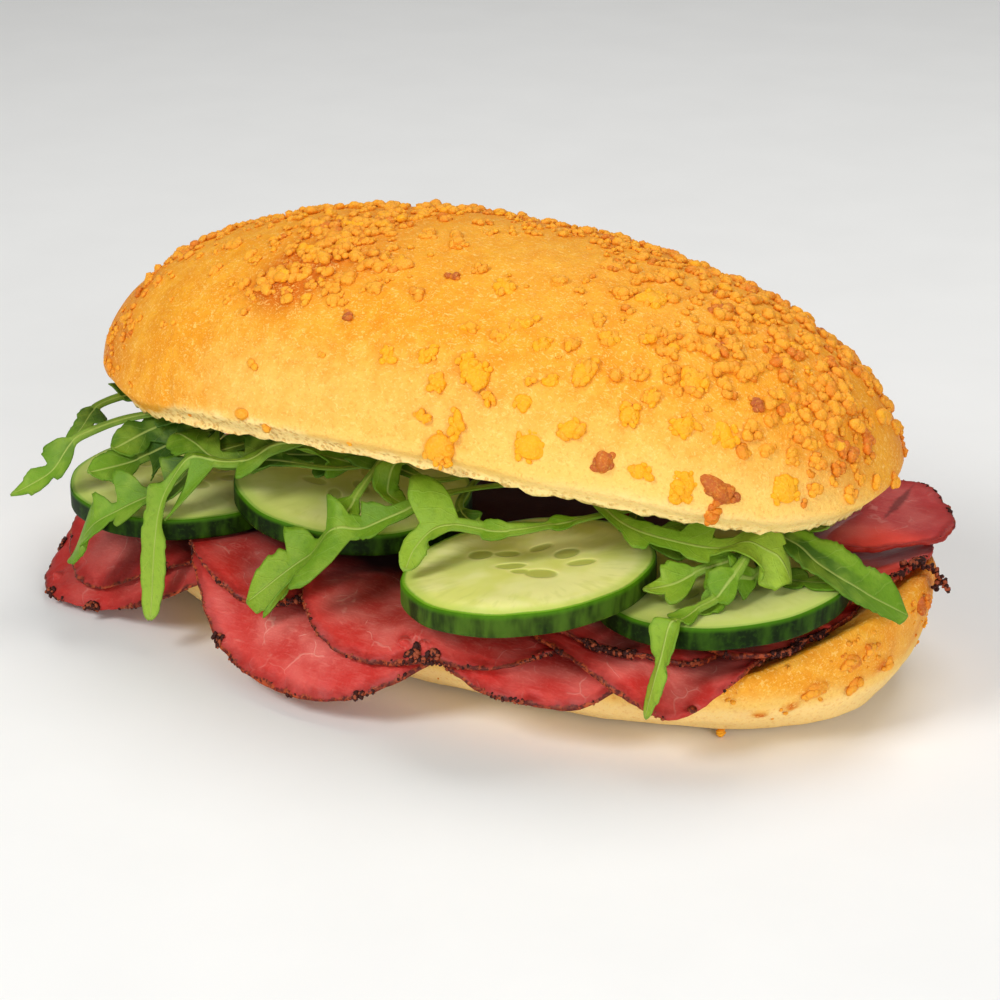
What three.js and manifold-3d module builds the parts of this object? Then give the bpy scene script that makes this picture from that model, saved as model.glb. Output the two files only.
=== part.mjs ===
// Pastrami sandwich in a cheese-crusted oval roll, millimetres, +Z up.
// Origin: centre of the flat underside of the bottom half. X runs along the roll, -Y is the open front.

import * as THREE from 'three';
import manifoldModule from 'manifold-3d';

const wasm = await manifoldModule();
wasm.setup();
const { Manifold, Mesh: SolidMesh } = wasm;

// Sizes of the bottom half of the roll
const heel = {
  centre: 2,
  halfLength: 86,
  halfWidth: 44,
  frontPower: 2.2,
  rearPower: 2.9,
  rimHeight: 14.5,
  endRise: 11,
  spokes: 48,
  rings: [
    { along: 0.85, across: 0.68, share: 0 },
    { along: 0.92, across: 0.79, share: 0.1 },
    { along: 0.965, across: 0.915, share: 0.34 },
    { along: 0.99, across: 0.985, share: 0.64 },
    { along: 1, across: 1, share: 0.9 },
    { along: 0.985, across: 0.975, share: 1 },
  ],
};

// Sizes of the top half of the roll
const lid = {
  centre: -3.5,
  halfLength: 83,
  halfWidth: 43.5,
  power: 2.2,
  dome: 2.2,
  cutHeight: 43,
  rearDrop: 10,
  arch: { middle: 5, rise: 6.4, left: 62, right: 56, leftDrop: 1.2, rightDrop: 2, rear: 22, front: -14 },
  crown: 80.5,
  sag: 2.5,
  spokes: 50,
  shares: [0, 0.05, 0.13, 0.25, 0.38, 0.52, 0.66, 0.78, 0.88, 0.95],
};

// Cheese lumps on the lid: plan place, height, half length, half width, turn in degrees
const lidLumps = [
  [-1.4, -38.2, 67.2, 2.2, 1.5, 100],
  [6.4, -37, 68.3, 2.6, 1.4, 60],
  [9.9, -39.7, 64.8, 2.2, 1.6, -30],
  [16, -37, 67.4, 4.4, 3.0, -35],
  [26.8, -38, 63.8, 2.0, 1.6, 0],
  [35.4, -30.9, 68.8, 3.2, 2.2, 60],
  [38.2, -9.9, 76.5, 3.6, 2.6, -20],
  [12.8, -20.4, 77.4, 3.0, 1.9, -40],
  [13, -43.9, 54, 3.6, 3.4, 90],
  [15.6, -42.3, 59.1, 3.4, 1.4, 100],
  [29.7, -40.9, 56.8, 3.8, 3.0, 10],
  [42.6, -37.7, 55.7, 2.5, 2.0, 80],
  [48.9, -35.8, 54.2, 2.0, 1.6, 0],
  [55.7, -33.2, 51.8, 4.2, 2.6, 75],
  [60.3, -25.7, 60, 2.9, 2.4, -40],
  [61.4, -29.9, 51.5, 4.3, 2.4, -40],
  [61, -31.1, 46.8, 1.8, 1.7, 0],
  [63, -18.5, 63.7, 1.5, 1.3, 0],
  [70.7, -22.3, 50.5, 3.4, 2.8, 80],
];
const lidCrumbs = { count: 46, small: 1.3, large: 2.3 };

// Cheese lumps on the bottom half: plan direction in degrees, height share, half sizes
const heelLumps = [
  [-28, 0.6, 2.6, 2.2],
  [-19, 0.78, 2.4, 1.8],
  [-13, 0.84, 1.8, 1.5],
  [-22, 0.5, 1.9, 1.8],
  [-8, 0.55, 2.3, 1.3],
  [2, 0.95, 2.4, 1.6],
  [-38, 0.14, 1.3, 1.1],
  [28, 0.6, 2.2, 1.8],
  [70, 0.55, 2.4, 1.9],
  [118, 0.65, 2.1, 1.6],
  [160, 0.5, 2.3, 1.9],
];

// Sliced meat: oval outlines, lowest slice first
const meat = {
  thickness: 0.7,
  edgeThickness: 1.1,
  gap: 0.34,
  level: 15,
  fall: 1,
  rise: [66, 84],
  start: 1.5,
  softness: 5,
  floor: 1.2,
  spokes: 24,
};
const slices = [
  { at: [-62, -2], half: [30, 41.6], power: 3.4, ripple: 0.4, waves: 5, phase: 0.6, face: -125, endLift: 6 },
  { at: [-63, -12], half: [26, 29], power: 2.5, ripple: 0.4, waves: 7, phase: 2.1, face: -120 },
  { at: [-11, -5], half: [38, 51], left: 46, power: 2.25, ripple: 0.3, waves: 4, phase: 0.3, face: -100,
    hump: 2.6 },
  { at: [-29, -14], half: [23, 31], power: 2.8, ripple: 0.5, waves: 8, phase: 1.1, face: -105 },
  { at: [30, -3], half: [24, 45], left: 31.5, power: 3.2, ripple: 0.3, waves: 6, phase: 0.2, face: -88 },
  { at: [5.5, -2], half: [34, 49.7], power: 2.8, ripple: 0.4, waves: 7, phase: 1.7, face: -84, fall: 1.7 },
  { at: [45, -1], half: [27.5, 41.5], power: 2.7, ripple: 0.4, waves: 6, phase: 2.8, face: -72, fall: 0.85 },
  { at: [42, -26], half: [18.5, 12], power: 2.4, ripple: 0.3, waves: 7, phase: 0.9, face: -80 },
  { at: [60.3, -7], half: [18.5, 22], power: 2.1, ripple: 0.3, waves: 6, phase: 1.9, face: -40 },
  { at: [64, 12], half: [20, 24], power: 2.3, ripple: 0.4, waves: 7, phase: 0.4, face: -5, level: 26, fall: 0.5 },
  { at: [68, 24], half: [17.5, 14.5], power: 1.95, ripple: 0.6, waves: 5, phase: 2.2, face: 10, level: 28.4,
    fall: 0.1, slope: 0.12, rise: [50, 68] },
];

// Pepper clumps on the slices: slice number, plan place, radius
const pepper = [
  [6, 7.5, -48, 1.5],
  [6, 11.5, -48.4, 1.3],
  [7, 62, -39.5, 1.1],
  [9, 73.5, -20, 1.4],
  [9, 76, -14, 1.2],
  [1, -83.5, -36, 1.2],
  [1, -70, -44, 1.1],
];

// Cucumber discs: plan place of the centre, tilt as rise per millimetre along X and Y
const cucumber = { radius: 23.5, thickness: 4.5, bevel: 0.5, spokes: 28, gap: 0.42 };
const discs = [
  { at: [-62, -20], tilt: [0.01, 0] },
  { at: [56.5, -16], tilt: [0.1, 0.02] },
  { at: [-25.5, -14], tilt: [-0.09, 0.02] },
  { at: [24.5, -32], tilt: [0.12, 0.02] },
];

// Rocket leaves: centre line from stalk to tip, half widths of stalk and blade, lobes as
// share of length, reach to the left and reach to the right, lowest leaf first
const leaf = { thickness: 0.4, gap: 0.34, lean: 0.7, rear: [-0.5, 0.87] };
const leaves = [
  { line: [[-12, 12, 35], [-24.6, -19.7, 37], [-36.4, -26.5, 37], [-48.1, -30.2, 37]], stalk: 0.8, blade: 3.4,
    lobes: [[0.6, 5, 3], [0.8, 4, 5]], fold: 0.15 },
  { line: [[0, 10, 35], [8.4, -29.5, 36], [16.8, -32.8, 35], [27.9, -26.4, 36]], stalk: 0.7, blade: 1.2,
    lobes: [[0.7, 2, 2]], fold: 0.2 },
  { line: [[30, 14, 35], [42.8, -23.2, 36], [50.1, -21.5, 35], [57.4, -19.9, 35]], stalk: 0.8, blade: 3,
    lobes: [[0.65, 4, 3], [0.82, 3, 4]], fold: 0.15 },
  { line: [[52, 2, 31], [65.3, -15.2, 31], [71.5, -15.6, 29], [79.4, -14.4, 26]], stalk: 0.8, blade: 3.2,
    lobes: [[0.72, 2.4, 3]], fold: 0.1 },
  { line: [[-44, -8, 37], [-54.3, -23.4, 37], [-61, -27.8, 34], [-64.7, -33, 32], [-70.4, -40.8, 31]],
    stalk: 0.9, blade: 2.7, lobes: [[0.42, 4, 5], [0.62, 6, 5.5], [0.84, 3.6, 3]], fold: 0.1 },
  { line: [[-40, -6, 38], [-53.6, -20.9, 38], [-63.6, -26, 36], [-69, -34.7, 34]], stalk: 0.8, blade: 3.2,
    lobes: [[0.66, 3.5, 4.4]], fold: 0.15 },
  { line: [[-56, 14, 36], [-77.5, -7.2, 37], [-78.9, -17.5, 38], [-81.3, -23.1, 37], [-78.8, -31.6, 36],
    [-78.2, -37.4, 34]], stalk: 0.8, blade: 1.9, lobes: [[0.62, 2.4, 3.6], [0.82, 4.4, 2.2]], fold: 0.2 },
  { line: [[-46, -14, 38], [-59.4, -23.1, 38], [-70.6, -28.2, 36], [-75.7, -34.7, 34], [-78.5, -41.4, 30],
    [-84, -48.4, 26]], stalk: 0.8, blade: 1.8, lobes: [[0.34, 3, 2.6], [0.78, 3, 3.4], [0.88, 2.6, 2.2]],
    fold: 0.1 },
  { line: [[-14, -14, 37], [-26.3, -20.7, 37], [-40.8, -27.3, 34], [-51, -36.5, 31], [-62.3, -44, 25],
    [-71.7, -46.8, 14]], stalk: 0.9, blade: 3.4, lobes: [[0.6, 3.6, 5], [0.74, 4.2, 6], [0.84, 4, 3.6]],
    fold: 0.15 },
  { line: [[-10, -18, 38], [-19.8, -28.8, 38], [-33.7, -30.4, 37.5], [-44.4, -33.9, 36], [-58.6, -27.3, 37]],
    stalk: 0.9, blade: 3.6, lobes: [[0.55, 3.4, 4.6], [0.76, 3.4, 6]], fold: 0.25 },
  { line: [[8, -10, 38], [-0.1, -24.4, 38], [-9.3, -23.3, 38], [-20.9, -21.5, 36], [-29.6, -28.4, 32]],
    stalk: 0.9, blade: 3.6, lobes: [[0.62, 5.4, 4.4], [0.8, 4, 4.8]], fold: 0.2 },
  { line: [[-12.2, -20, 33], [-12.2, -27.8, 33.4], [-12.4, -33.4, 34], [-11.4, -38.4, 33], [-8.7, -40.3, 30]],
    stalk: 0.8, blade: 2.2, lobes: [[0.7, 2.8, 2.6]], fold: 0.35 },
  { line: [[14, -14, 37], [3.2, -28.1, 37], [-1.7, -35.4, 35], [-10.4, -40.7, 30], [-19.1, -42.5, 24],
    [-27.4, -48.6, 16]], stalk: 1, blade: 4.4, lobes: [[0.5, 3, 3.6], [0.64, 9.4, 4.6], [0.78, 8.6, 5.6]],
    fold: 0.12 },
  { line: [[-14, -16, 37], [-23.1, -25.6, 37], [-38.4, -33.8, 33], [-48.7, -37, 25], [-52.3, -42.2, 17],
    [-50.3, -49.3, 7]], stalk: 1.2, blade: 3, lobes: [[0.42, 3.8, 1.6], [0.6, 8, 1.6], [0.8, 2.6, 3]],
    fold: 0.1 },
  { line: [[2, -12, 37], [-5.7, -20.7, 38], [-8.2, -24, 37], [-8.2, -28.4, 35], [-4.2, -29.1, 34]], stalk: 0.8,
    blade: 2.2, lobes: [[0.75, 2.8, 2.6]], fold: 0.4 },
  { line: [[48, -8, 38], [37.6, -19.2, 38], [28.5, -29.3, 37], [20.2, -35.1, 36], [9.3, -38.2, 36],
    [6.1, -41.7, 32], [6.3, -45.7, 29]], stalk: 1, blade: 2.6,
    lobes: [[0.44, 1.6, 1.8], [0.64, 2, 2], [0.82, 2.4, 8]], fold: 0.15 },
  { line: [[60, -6, 36], [62, -16, 35.6], [61.6, -22.5, 35], [56.6, -26.3, 33], [53.3, -29.6, 31],
    [48.7, -33.1, 30]], stalk: 0.9, blade: 1.8, lobes: [[0.56, 4.4, 3.4], [0.8, 4, 3.4]], fold: 0.15 },
  { line: [[66, -6, 37], [67.8, -18.9, 35.6], [65.6, -23, 32], [62.2, -29.2, 27], [59.7, -34.2, 22]],
    stalk: 0.9, blade: 1.9, lobes: [[0.6, 2.2, 2.4], [0.82, 2.4, 2]], fold: 0.2 },
  { line: [[62, -12, 37], [64.1, -23.6, 36], [63.3, -28.7, 32], [59.3, -35.5, 26], [56.9, -41.2, 18],
    [55, -43.6, 10]], stalk: 0.9, blade: 2.4, lobes: [[0.4, 2.4, 3], [0.62, 2.6, 2.8], [0.76, 2.8, 2.8]],
    fold: 0.12 },
  { line: [[46, -2, 34], [58.5, -11.4, 35], [65.8, -7.7, 36.5], [73.3, -8.1, 38]], stalk: 1, blade: 2.4,
    lobes: [[0.7, 2.6, 2.6]], fold: 0.2 },
  { line: [[50, 0, 37.6], [63.1, -13, 38], [70.4, -15, 36], [80.4, -14.4, 31], [89.9, -9.3, 25]], stalk: 1.1,
    blade: 3.5, lobes: [[0.6, 3.2, 3], [0.84, 3.9, 3.9]], fold: 0.45 },
  { line: [[24, -6, 38.4], [33.9, -21.9, 39], [43.9, -26.1, 38], [53.9, -25, 37], [64.4, -20.8, 35],
    [71.3, -19.2, 31]], stalk: 1.1, blade: 4, lobes: [[0.5, 2, 3.6], [0.68, 6.6, 3.4], [0.84, 4.4, 5]],
    fold: 0.1 },
];

function fraction(n) {
  return n - Math.floor(n);
}

// Repeatable number from 0 to 1 for a whole number
function chance(n) {
  return fraction(Math.sin(n * 127.1 + 311.7) * 43758.5453);
}

function smooth(low, high, value) {
  const t = Math.min(1, Math.max(0, (value - low) / (high - low)));
  return t * t * (3 - 2 * t);
}

function signedPower(value, power) {
  return Math.sign(value) * Math.abs(value) ** power;
}

// Closed body gathered from points and triangles
function body() {
  const points = [];
  const faces = [];
  return {
    points,
    faces,
    point(x, y, z) {
      points.push([x, y, z]);
      return points.length - 1;
    },
    quad(a, b, c, d) {
      faces.push([a, b, c], [a, c, d]);
    },
  };
}

// Joins two rings of equal length, the first below the second, seen from outside
function band(shape, low, high) {
  const count = low.length;
  for (let i = 0; i < count; i += 1) {
    const j = (i + 1) % count;
    shape.quad(low[i], low[j], high[j], high[i]);
  }
}

function fan(shape, ring, centre, up) {
  const count = ring.length;
  for (let i = 0; i < count; i += 1) {
    const j = (i + 1) % count;
    shape.faces.push(up ? [ring[i], ring[j], centre] : [ring[j], ring[i], centre]);
  }
}

function solidOf(shape) {
  const mesh = new SolidMesh({
    numProp: 3,
    vertProperties: new Float32Array(shape.points.flat()),
    triVerts: new Uint32Array(shape.faces.flat()),
  });
  mesh.merge();
  return new Manifold(mesh);
}

// Outline of the bottom half: 1 on the rim
function heelPower(y) {
  return heel.frontPower + (heel.rearPower - heel.frontPower) * smooth(-5, 15, y);
}

function heelReach(x, y) {
  const power = heelPower(y);
  const along = Math.abs((x - heel.centre) / heel.halfLength) ** power;
  const across = Math.abs(y / heel.halfWidth) ** power;
  return (along + across) ** (1 / power);
}

function heelRim(x) {
  return heel.rimHeight + heel.endRise * smooth(60, 90, x);
}

function heelPoint(angle, share, grow) {
  const c = Math.cos(angle);
  const s = Math.sin(angle);
  const power = heelPower(s * heel.halfWidth);
  const rings = heel.rings;
  let k = 0;
  while (k < rings.length - 2 && rings[k + 1].share < share) {
    k += 1;
  }
  const t = (share - rings[k].share) / (rings[k + 1].share - rings[k].share);
  const along = rings[k].along + (rings[k + 1].along - rings[k].along) * t;
  const across = rings[k].across + (rings[k + 1].across - rings[k].across) * t;
  const x = heel.centre + heel.halfLength * along * grow * signedPower(c, 2 / power);
  const y = heel.halfWidth * across * grow * signedPower(s, 2 / power);
  return [x, y, heelRim(x) * share];
}

// Height share of the lid from its plan reach
function lidPoint(angle, share) {
  const bulge = 0.975 + 0.055 * smooth(0, 0.12, share);
  const reach = bulge * (1 - share ** lid.dome) ** (1 / lid.dome);
  const c = signedPower(Math.cos(angle), 2 / lid.power);
  const s = signedPower(Math.sin(angle), 2 / lid.power);
  const x = lid.centre + lid.halfLength * reach * c;
  const y = lid.halfWidth * reach * s;
  const rim = lidCut(x, y);
  return [x, y, rim + share * (lid.crown - rim)];
}

// Height of the cut edge: arched along the open front, lower at the rear
function lidCut(x, y) {
  const { middle, rise, left, right, leftDrop, rightDrop, rear, front } = lid.arch;
  const away = (x - middle) / (x < middle ? left : right);
  const arched = Math.max(x < middle ? -leftDrop : -rightDrop, rise * (1 - away * away));
  return lid.cutHeight + arched * smooth(rear, front, y) - lid.rearDrop * smooth(4, lid.halfWidth, y);
}

function lidNormal(angle, share) {
  const step = 0.01;
  const a = new THREE.Vector3(...lidPoint(angle - step, share));
  const b = new THREE.Vector3(...lidPoint(angle + step, share));
  const c = new THREE.Vector3(...lidPoint(angle, share - step));
  const d = new THREE.Vector3(...lidPoint(angle, Math.min(0.995, share + step)));
  return b.sub(a).cross(d.sub(c)).normalize();
}

// Rounded lump of 20 facets, pressed flat along its outward direction
function lump(centre, outward, long, wide, high, turn, seed) {
  const ball = new THREE.IcosahedronGeometry(1, 0);
  const place = ball.attributes.position;
  const seen = new Map();
  const across = new THREE.Vector3(0, 0, 1).cross(outward);
  if (across.lengthSq() < 1e-4) {
    across.set(1, 0, 0);
  }
  across.normalize();
  const side = outward.clone().cross(across).normalize();
  const c = Math.cos(turn);
  const s = Math.sin(turn);
  const u = across.clone().multiplyScalar(c).addScaledVector(side, s);
  const v = outward.clone().cross(u);
  const shape = body();
  for (let i = 0; i < place.count; i += 3) {
    const face = [0, 1, 2].map((k) => {
      const p = new THREE.Vector3().fromBufferAttribute(place, i + k);
      const key = p.toArray().map((n) => n.toFixed(3)).join();
      if (!seen.has(key)) {
        const r = 0.86 + 0.28 * chance(seed * 31 + seen.size);
        const q = new THREE.Vector3(...centre)
          .addScaledVector(u, p.x * long * r)
          .addScaledVector(v, p.y * wide * r)
          .addScaledVector(outward, p.z * high * r);
        seen.set(key, shape.point(q.x, q.y, q.z));
      }
      return seen.get(key);
    });
    shape.faces.push(face);
  }
  return solidOf(shape);
}

// Share of the crust that carries crumbs at a place on the lid
function crumbDensity(x, y, share) {
  const ridge = smooth(-30, -16, y);
  const leftEnd = smooth(-58, -68, x) * smooth(-38, -26, y);
  const right = smooth(25, 50, x);
  const topGap = 1 - 0.6 * smooth(-12, 0, x) * smooth(40, 22, x) * smooth(-4, -14, y);
  const front = (1 - ridge) * (0.03 + 0.42 * right);
  return Math.max(ridge * topGap * (0.8 + 0.2 * share), leftEnd, front);
}

function crumbPlaces(count) {
  const list = [];
  for (let k = 1; list.length < count; k += 1) {
    const angle = 2 * Math.PI * fraction(0.5 + k * 0.7548776662466927);
    const share = 0.06 + 0.92 * fraction(0.5 + k * 0.5698402909980532);
    const [x, y, z] = lidPoint(angle, share);
    if (chance(k) < crumbDensity(x, y, share) * smooth(0.02, 0.2, share)) {
      list.push({ angle, share, seed: k, place: [x, y, z] });
    }
  }
  return list;
}

// Height of everything placed so far, on a square grid over the plan
const pile = {
  left: -125,
  near: -85,
  cell: 0.5,
  columns: 500,
  rows: 340,
};
pile.height = new Float64Array(pile.columns * pile.rows).fill(-50);

function pileAt(x, y) {
  const fx = (x - pile.left) / pile.cell;
  const fy = (y - pile.near) / pile.cell;
  const i = Math.min(pile.columns - 2, Math.max(0, Math.floor(fx)));
  const j = Math.min(pile.rows - 2, Math.max(0, Math.floor(fy)));
  const h = pile.height;
  const n = j * pile.columns + i;
  const corners = [h[n], h[n + 1], h[n + pile.columns], h[n + pile.columns + 1]];
  const high = Math.max(...corners);
  if (Math.min(...corners) < high - 3) {
    return high;
  }
  const tx = fx - i;
  const ty = fy - j;
  return (corners[0] * (1 - tx) + corners[1] * tx) * (1 - ty) + (corners[2] * (1 - tx) + corners[3] * tx) * ty;
}

// Calls back for each grid node under a triangle with the weights of its corners
function overNodes(a, b, c, each) {
  const size = (b[0] - a[0]) * (c[1] - a[1]) - (c[0] - a[0]) * (b[1] - a[1]);
  if (Math.abs(size) < 1e-9) {
    return;
  }
  const i0 = Math.max(0, Math.ceil((Math.min(a[0], b[0], c[0]) - pile.left) / pile.cell));
  const i1 = Math.min(pile.columns - 1, Math.floor((Math.max(a[0], b[0], c[0]) - pile.left) / pile.cell));
  const j0 = Math.max(0, Math.ceil((Math.min(a[1], b[1], c[1]) - pile.near) / pile.cell));
  const j1 = Math.min(pile.rows - 1, Math.floor((Math.max(a[1], b[1], c[1]) - pile.near) / pile.cell));
  for (let j = j0; j <= j1; j += 1) {
    const y = pile.near + j * pile.cell;
    for (let i = i0; i <= i1; i += 1) {
      const x = pile.left + i * pile.cell;
      const wb = ((x - a[0]) * (c[1] - a[1]) - (c[0] - a[0]) * (y - a[1])) / size;
      const wc = ((b[0] - a[0]) * (y - a[1]) - (x - a[0]) * (b[1] - a[1])) / size;
      const wa = 1 - wb - wc;
      if (wa > -1e-6 && wb > -1e-6 && wc > -1e-6) {
        each(j * pile.columns + i, wa, wb, wc);
      }
    }
  }
}

function addToPile(points, faces) {
  const own = new Map();
  for (const [a, b, c] of faces) {
    const [p, q, r] = [points[a], points[b], points[c]];
    overNodes(p, q, r, (node, wa, wb, wc) => {
      const z = p[2] * wa + q[2] * wb + r[2] * wc;
      if (!(own.get(node) >= z)) {
        own.set(node, z);
      }
    });
  }
  const margin = new Map();
  const steps = [-1, 0, 1].flatMap((j) => [-1, 0, 1].map((i) => j * pile.columns + i));
  for (const [node, z] of own) {
    for (const step of steps) {
      if (!own.has(node + step) && !(margin.get(node + step) >= z)) {
        margin.set(node + step, z);
      }
    }
  }
  for (const [node, z] of [...own, ...margin]) {
    pile.height[node] = Math.max(pile.height[node], z);
  }
}

// Lifts a sheet from its natural heights until it clears the pile, spreading the lift softly
function settle(plan, natural, faces, gap, rounds) {
  const count = plan.length;
  const near = plan.map(() => new Set());
  const samples = [];
  for (const face of faces) {
    const [a, b, c] = face;
    near[a].add(b).add(c);
    near[b].add(a).add(c);
    near[c].add(a).add(b);
    overNodes(plan[a], plan[b], plan[c], (node, wa, wb, wc) => {
      if (pile.height[node] > -40) {
        samples.push([face, wa, wb, wc, pile.height[node] + gap]);
      }
    });
  }
  const touching = plan.map(() => []);
  for (const sample of samples) {
    sample[0].forEach((i, k) => {
      if (sample[k + 1] > 0.03) {
        touching[i].push([sample, sample[k + 1]]);
      }
    });
  }
  const least = plan.map(([x, y], i) => Math.max(natural[i], pileAt(x, y) + gap));
  const height = least.slice();
  const spare = ([[a, b, c], wa, wb, wc, need]) => height[a] * wa + height[b] * wb + height[c] * wc - need;
  const raise = () => {
    for (let turn = 0; turn < 40; turn += 1) {
      let worst = 0;
      for (const sample of samples) {
        const short = -spare(sample);
        if (short > 0) {
          worst = Math.max(worst, short);
          const [[a, b, c], wa, wb, wc] = sample;
          const share = short / (wa * wa + wb * wb + wc * wc);
          height[a] += share * wa;
          height[b] += share * wb;
          height[c] += share * wc;
        }
      }
      if (worst < 0.004) {
        break;
      }
    }
  };
  const lower = () => {
    for (let i = 0; i < count; i += 1) {
      let slack = height[i] - least[i];
      for (const [sample, weight] of touching[i]) {
        slack = Math.min(slack, spare(sample) / weight);
      }
      height[i] -= 0.6 * Math.max(0, slack);
    }
  };
  raise();
  for (let round = 0; round < rounds; round += 1) {
    const lift = height.map((h, i) => h - natural[i]);
    for (let i = 0; i < count; i += 1) {
      let sum = 0;
      for (const j of near[i]) {
        sum += lift[j];
      }
      height[i] = Math.max(least[i], natural[i] + 0.45 * lift[i] + 0.55 * (sum / near[i].size));
    }
    raise();
    lower();
  }
  for (let turn = 0; turn < 6; turn += 1) {
    lower();
  }
  raise();
  return height.map((h) => h + 0.01);
}

// Thin solid from a settled lower face; both faces carry the same triangles
function sheetBody(plan, height, faces, rim, thicknessAt) {
  const steep = plan.map(() => [0, 0]);
  for (const [a, b, c] of faces) {
    const p = new THREE.Vector3(...plan[a], height[a]);
    const q = new THREE.Vector3(...plan[b], height[b]).sub(p);
    const r = new THREE.Vector3(...plan[c], height[c]).sub(p);
    const normal = q.cross(r);
    const area = normal.length();
    for (const i of [a, b, c]) {
      steep[i][0] += area;
      steep[i][1] += Math.abs(normal.z);
    }
  }
  const shape = body();
  const low = plan.map(([x, y], i) => shape.point(x, y, height[i]));
  const high = plan.map(([x, y], i) => {
    const stretch = Math.min(1.6, steep[i][0] / Math.max(1e-6, steep[i][1]));
    return shape.point(x, y, height[i] + thicknessAt(i) * stretch);
  });
  for (const [a, b, c] of faces) {
    shape.faces.push([high[a], high[b], high[c]], [low[a], low[c], low[b]]);
  }
  for (let i = 0; i < rim.length; i += 1) {
    const j = (i + 1) % rim.length;
    shape.quad(low[rim[i]], low[rim[j]], high[rim[j]], high[rim[i]]);
  }
  return shape;
}

function gatheredPoints(solid) {
  const mesh = solid.getMesh();
  const points = [];
  const faces = [];
  const { numProp, vertProperties, triVerts } = mesh;
  for (let i = 0; i < vertProperties.length; i += numProp) {
    points.push([vertProperties[i], vertProperties[i + 1], vertProperties[i + 2]]);
  }
  for (let i = 0; i < triVerts.length; i += 3) {
    faces.push([triVerts[i], triVerts[i + 1], triVerts[i + 2]]);
  }
  return { points, faces };
}

function addSolidToPile(solid) {
  const { points, faces } = gatheredPoints(solid);
  addToPile(points, faces);
}

function buildHeel() {
  const shape = body();
  const rings = heel.rings.map(({ share }) => {
    const ring = [];
    for (let i = 0; i < heel.spokes; i += 1) {
      ring.push(shape.point(...heelPoint((2 * Math.PI * i) / heel.spokes, share, 1)));
    }
    return ring;
  });
  const foot = shape.point(heel.centre, 0, 0);
  fan(shape, rings[0], foot, false);
  for (let k = 0; k < rings.length - 1; k += 1) {
    band(shape, rings[k], rings[k + 1]);
  }
  let outer = rings[rings.length - 1];
  for (const [reach, drop] of [[0.86, 0.7], [0.5, 1]]) {
    const inner = outer.map((_, i) => {
      const [x, y, z] = heelPoint((2 * Math.PI * i) / heel.spokes, 1, reach);
      return shape.point(x, y, z - drop);
    });
    band(shape, outer, inner);
    outer = inner;
  }
  fan(shape, outer, shape.point(heel.centre, 0, heel.rimHeight - 1), true);
  const lumps = heelLumps.map(([turn, share, long, wide], i) => {
    const angle = (turn * Math.PI) / 180;
    const at = new THREE.Vector3(...heelPoint(angle, share, 1));
    const ahead = new THREE.Vector3(...heelPoint(angle + 0.02, share, 1)).sub(at);
    const above = new THREE.Vector3(...heelPoint(angle, Math.min(1, share + 0.05), 1)).sub(at);
    const outward = ahead.cross(above).normalize();
    return lump(at.toArray(), outward, long, wide, 0.9, turn, 400 + i);
  });
  return Manifold.union([solidOf(shape), ...lumps]);
}

// Share of the way along a spoke at which it crosses the rim of the bottom half
function rimShare(at, dx, dy) {
  let low = 0;
  let high = 1;
  for (let turn = 0; turn < 24; turn += 1) {
    const middle = (low + high) / 2;
    if (heelReach(at[0] + dx * middle, at[1] + dy * middle) < 0.985) {
      low = middle;
    } else {
      high = middle;
    }
  }
  return Math.min(0.92, Math.max(0.6, low));
}

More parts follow.
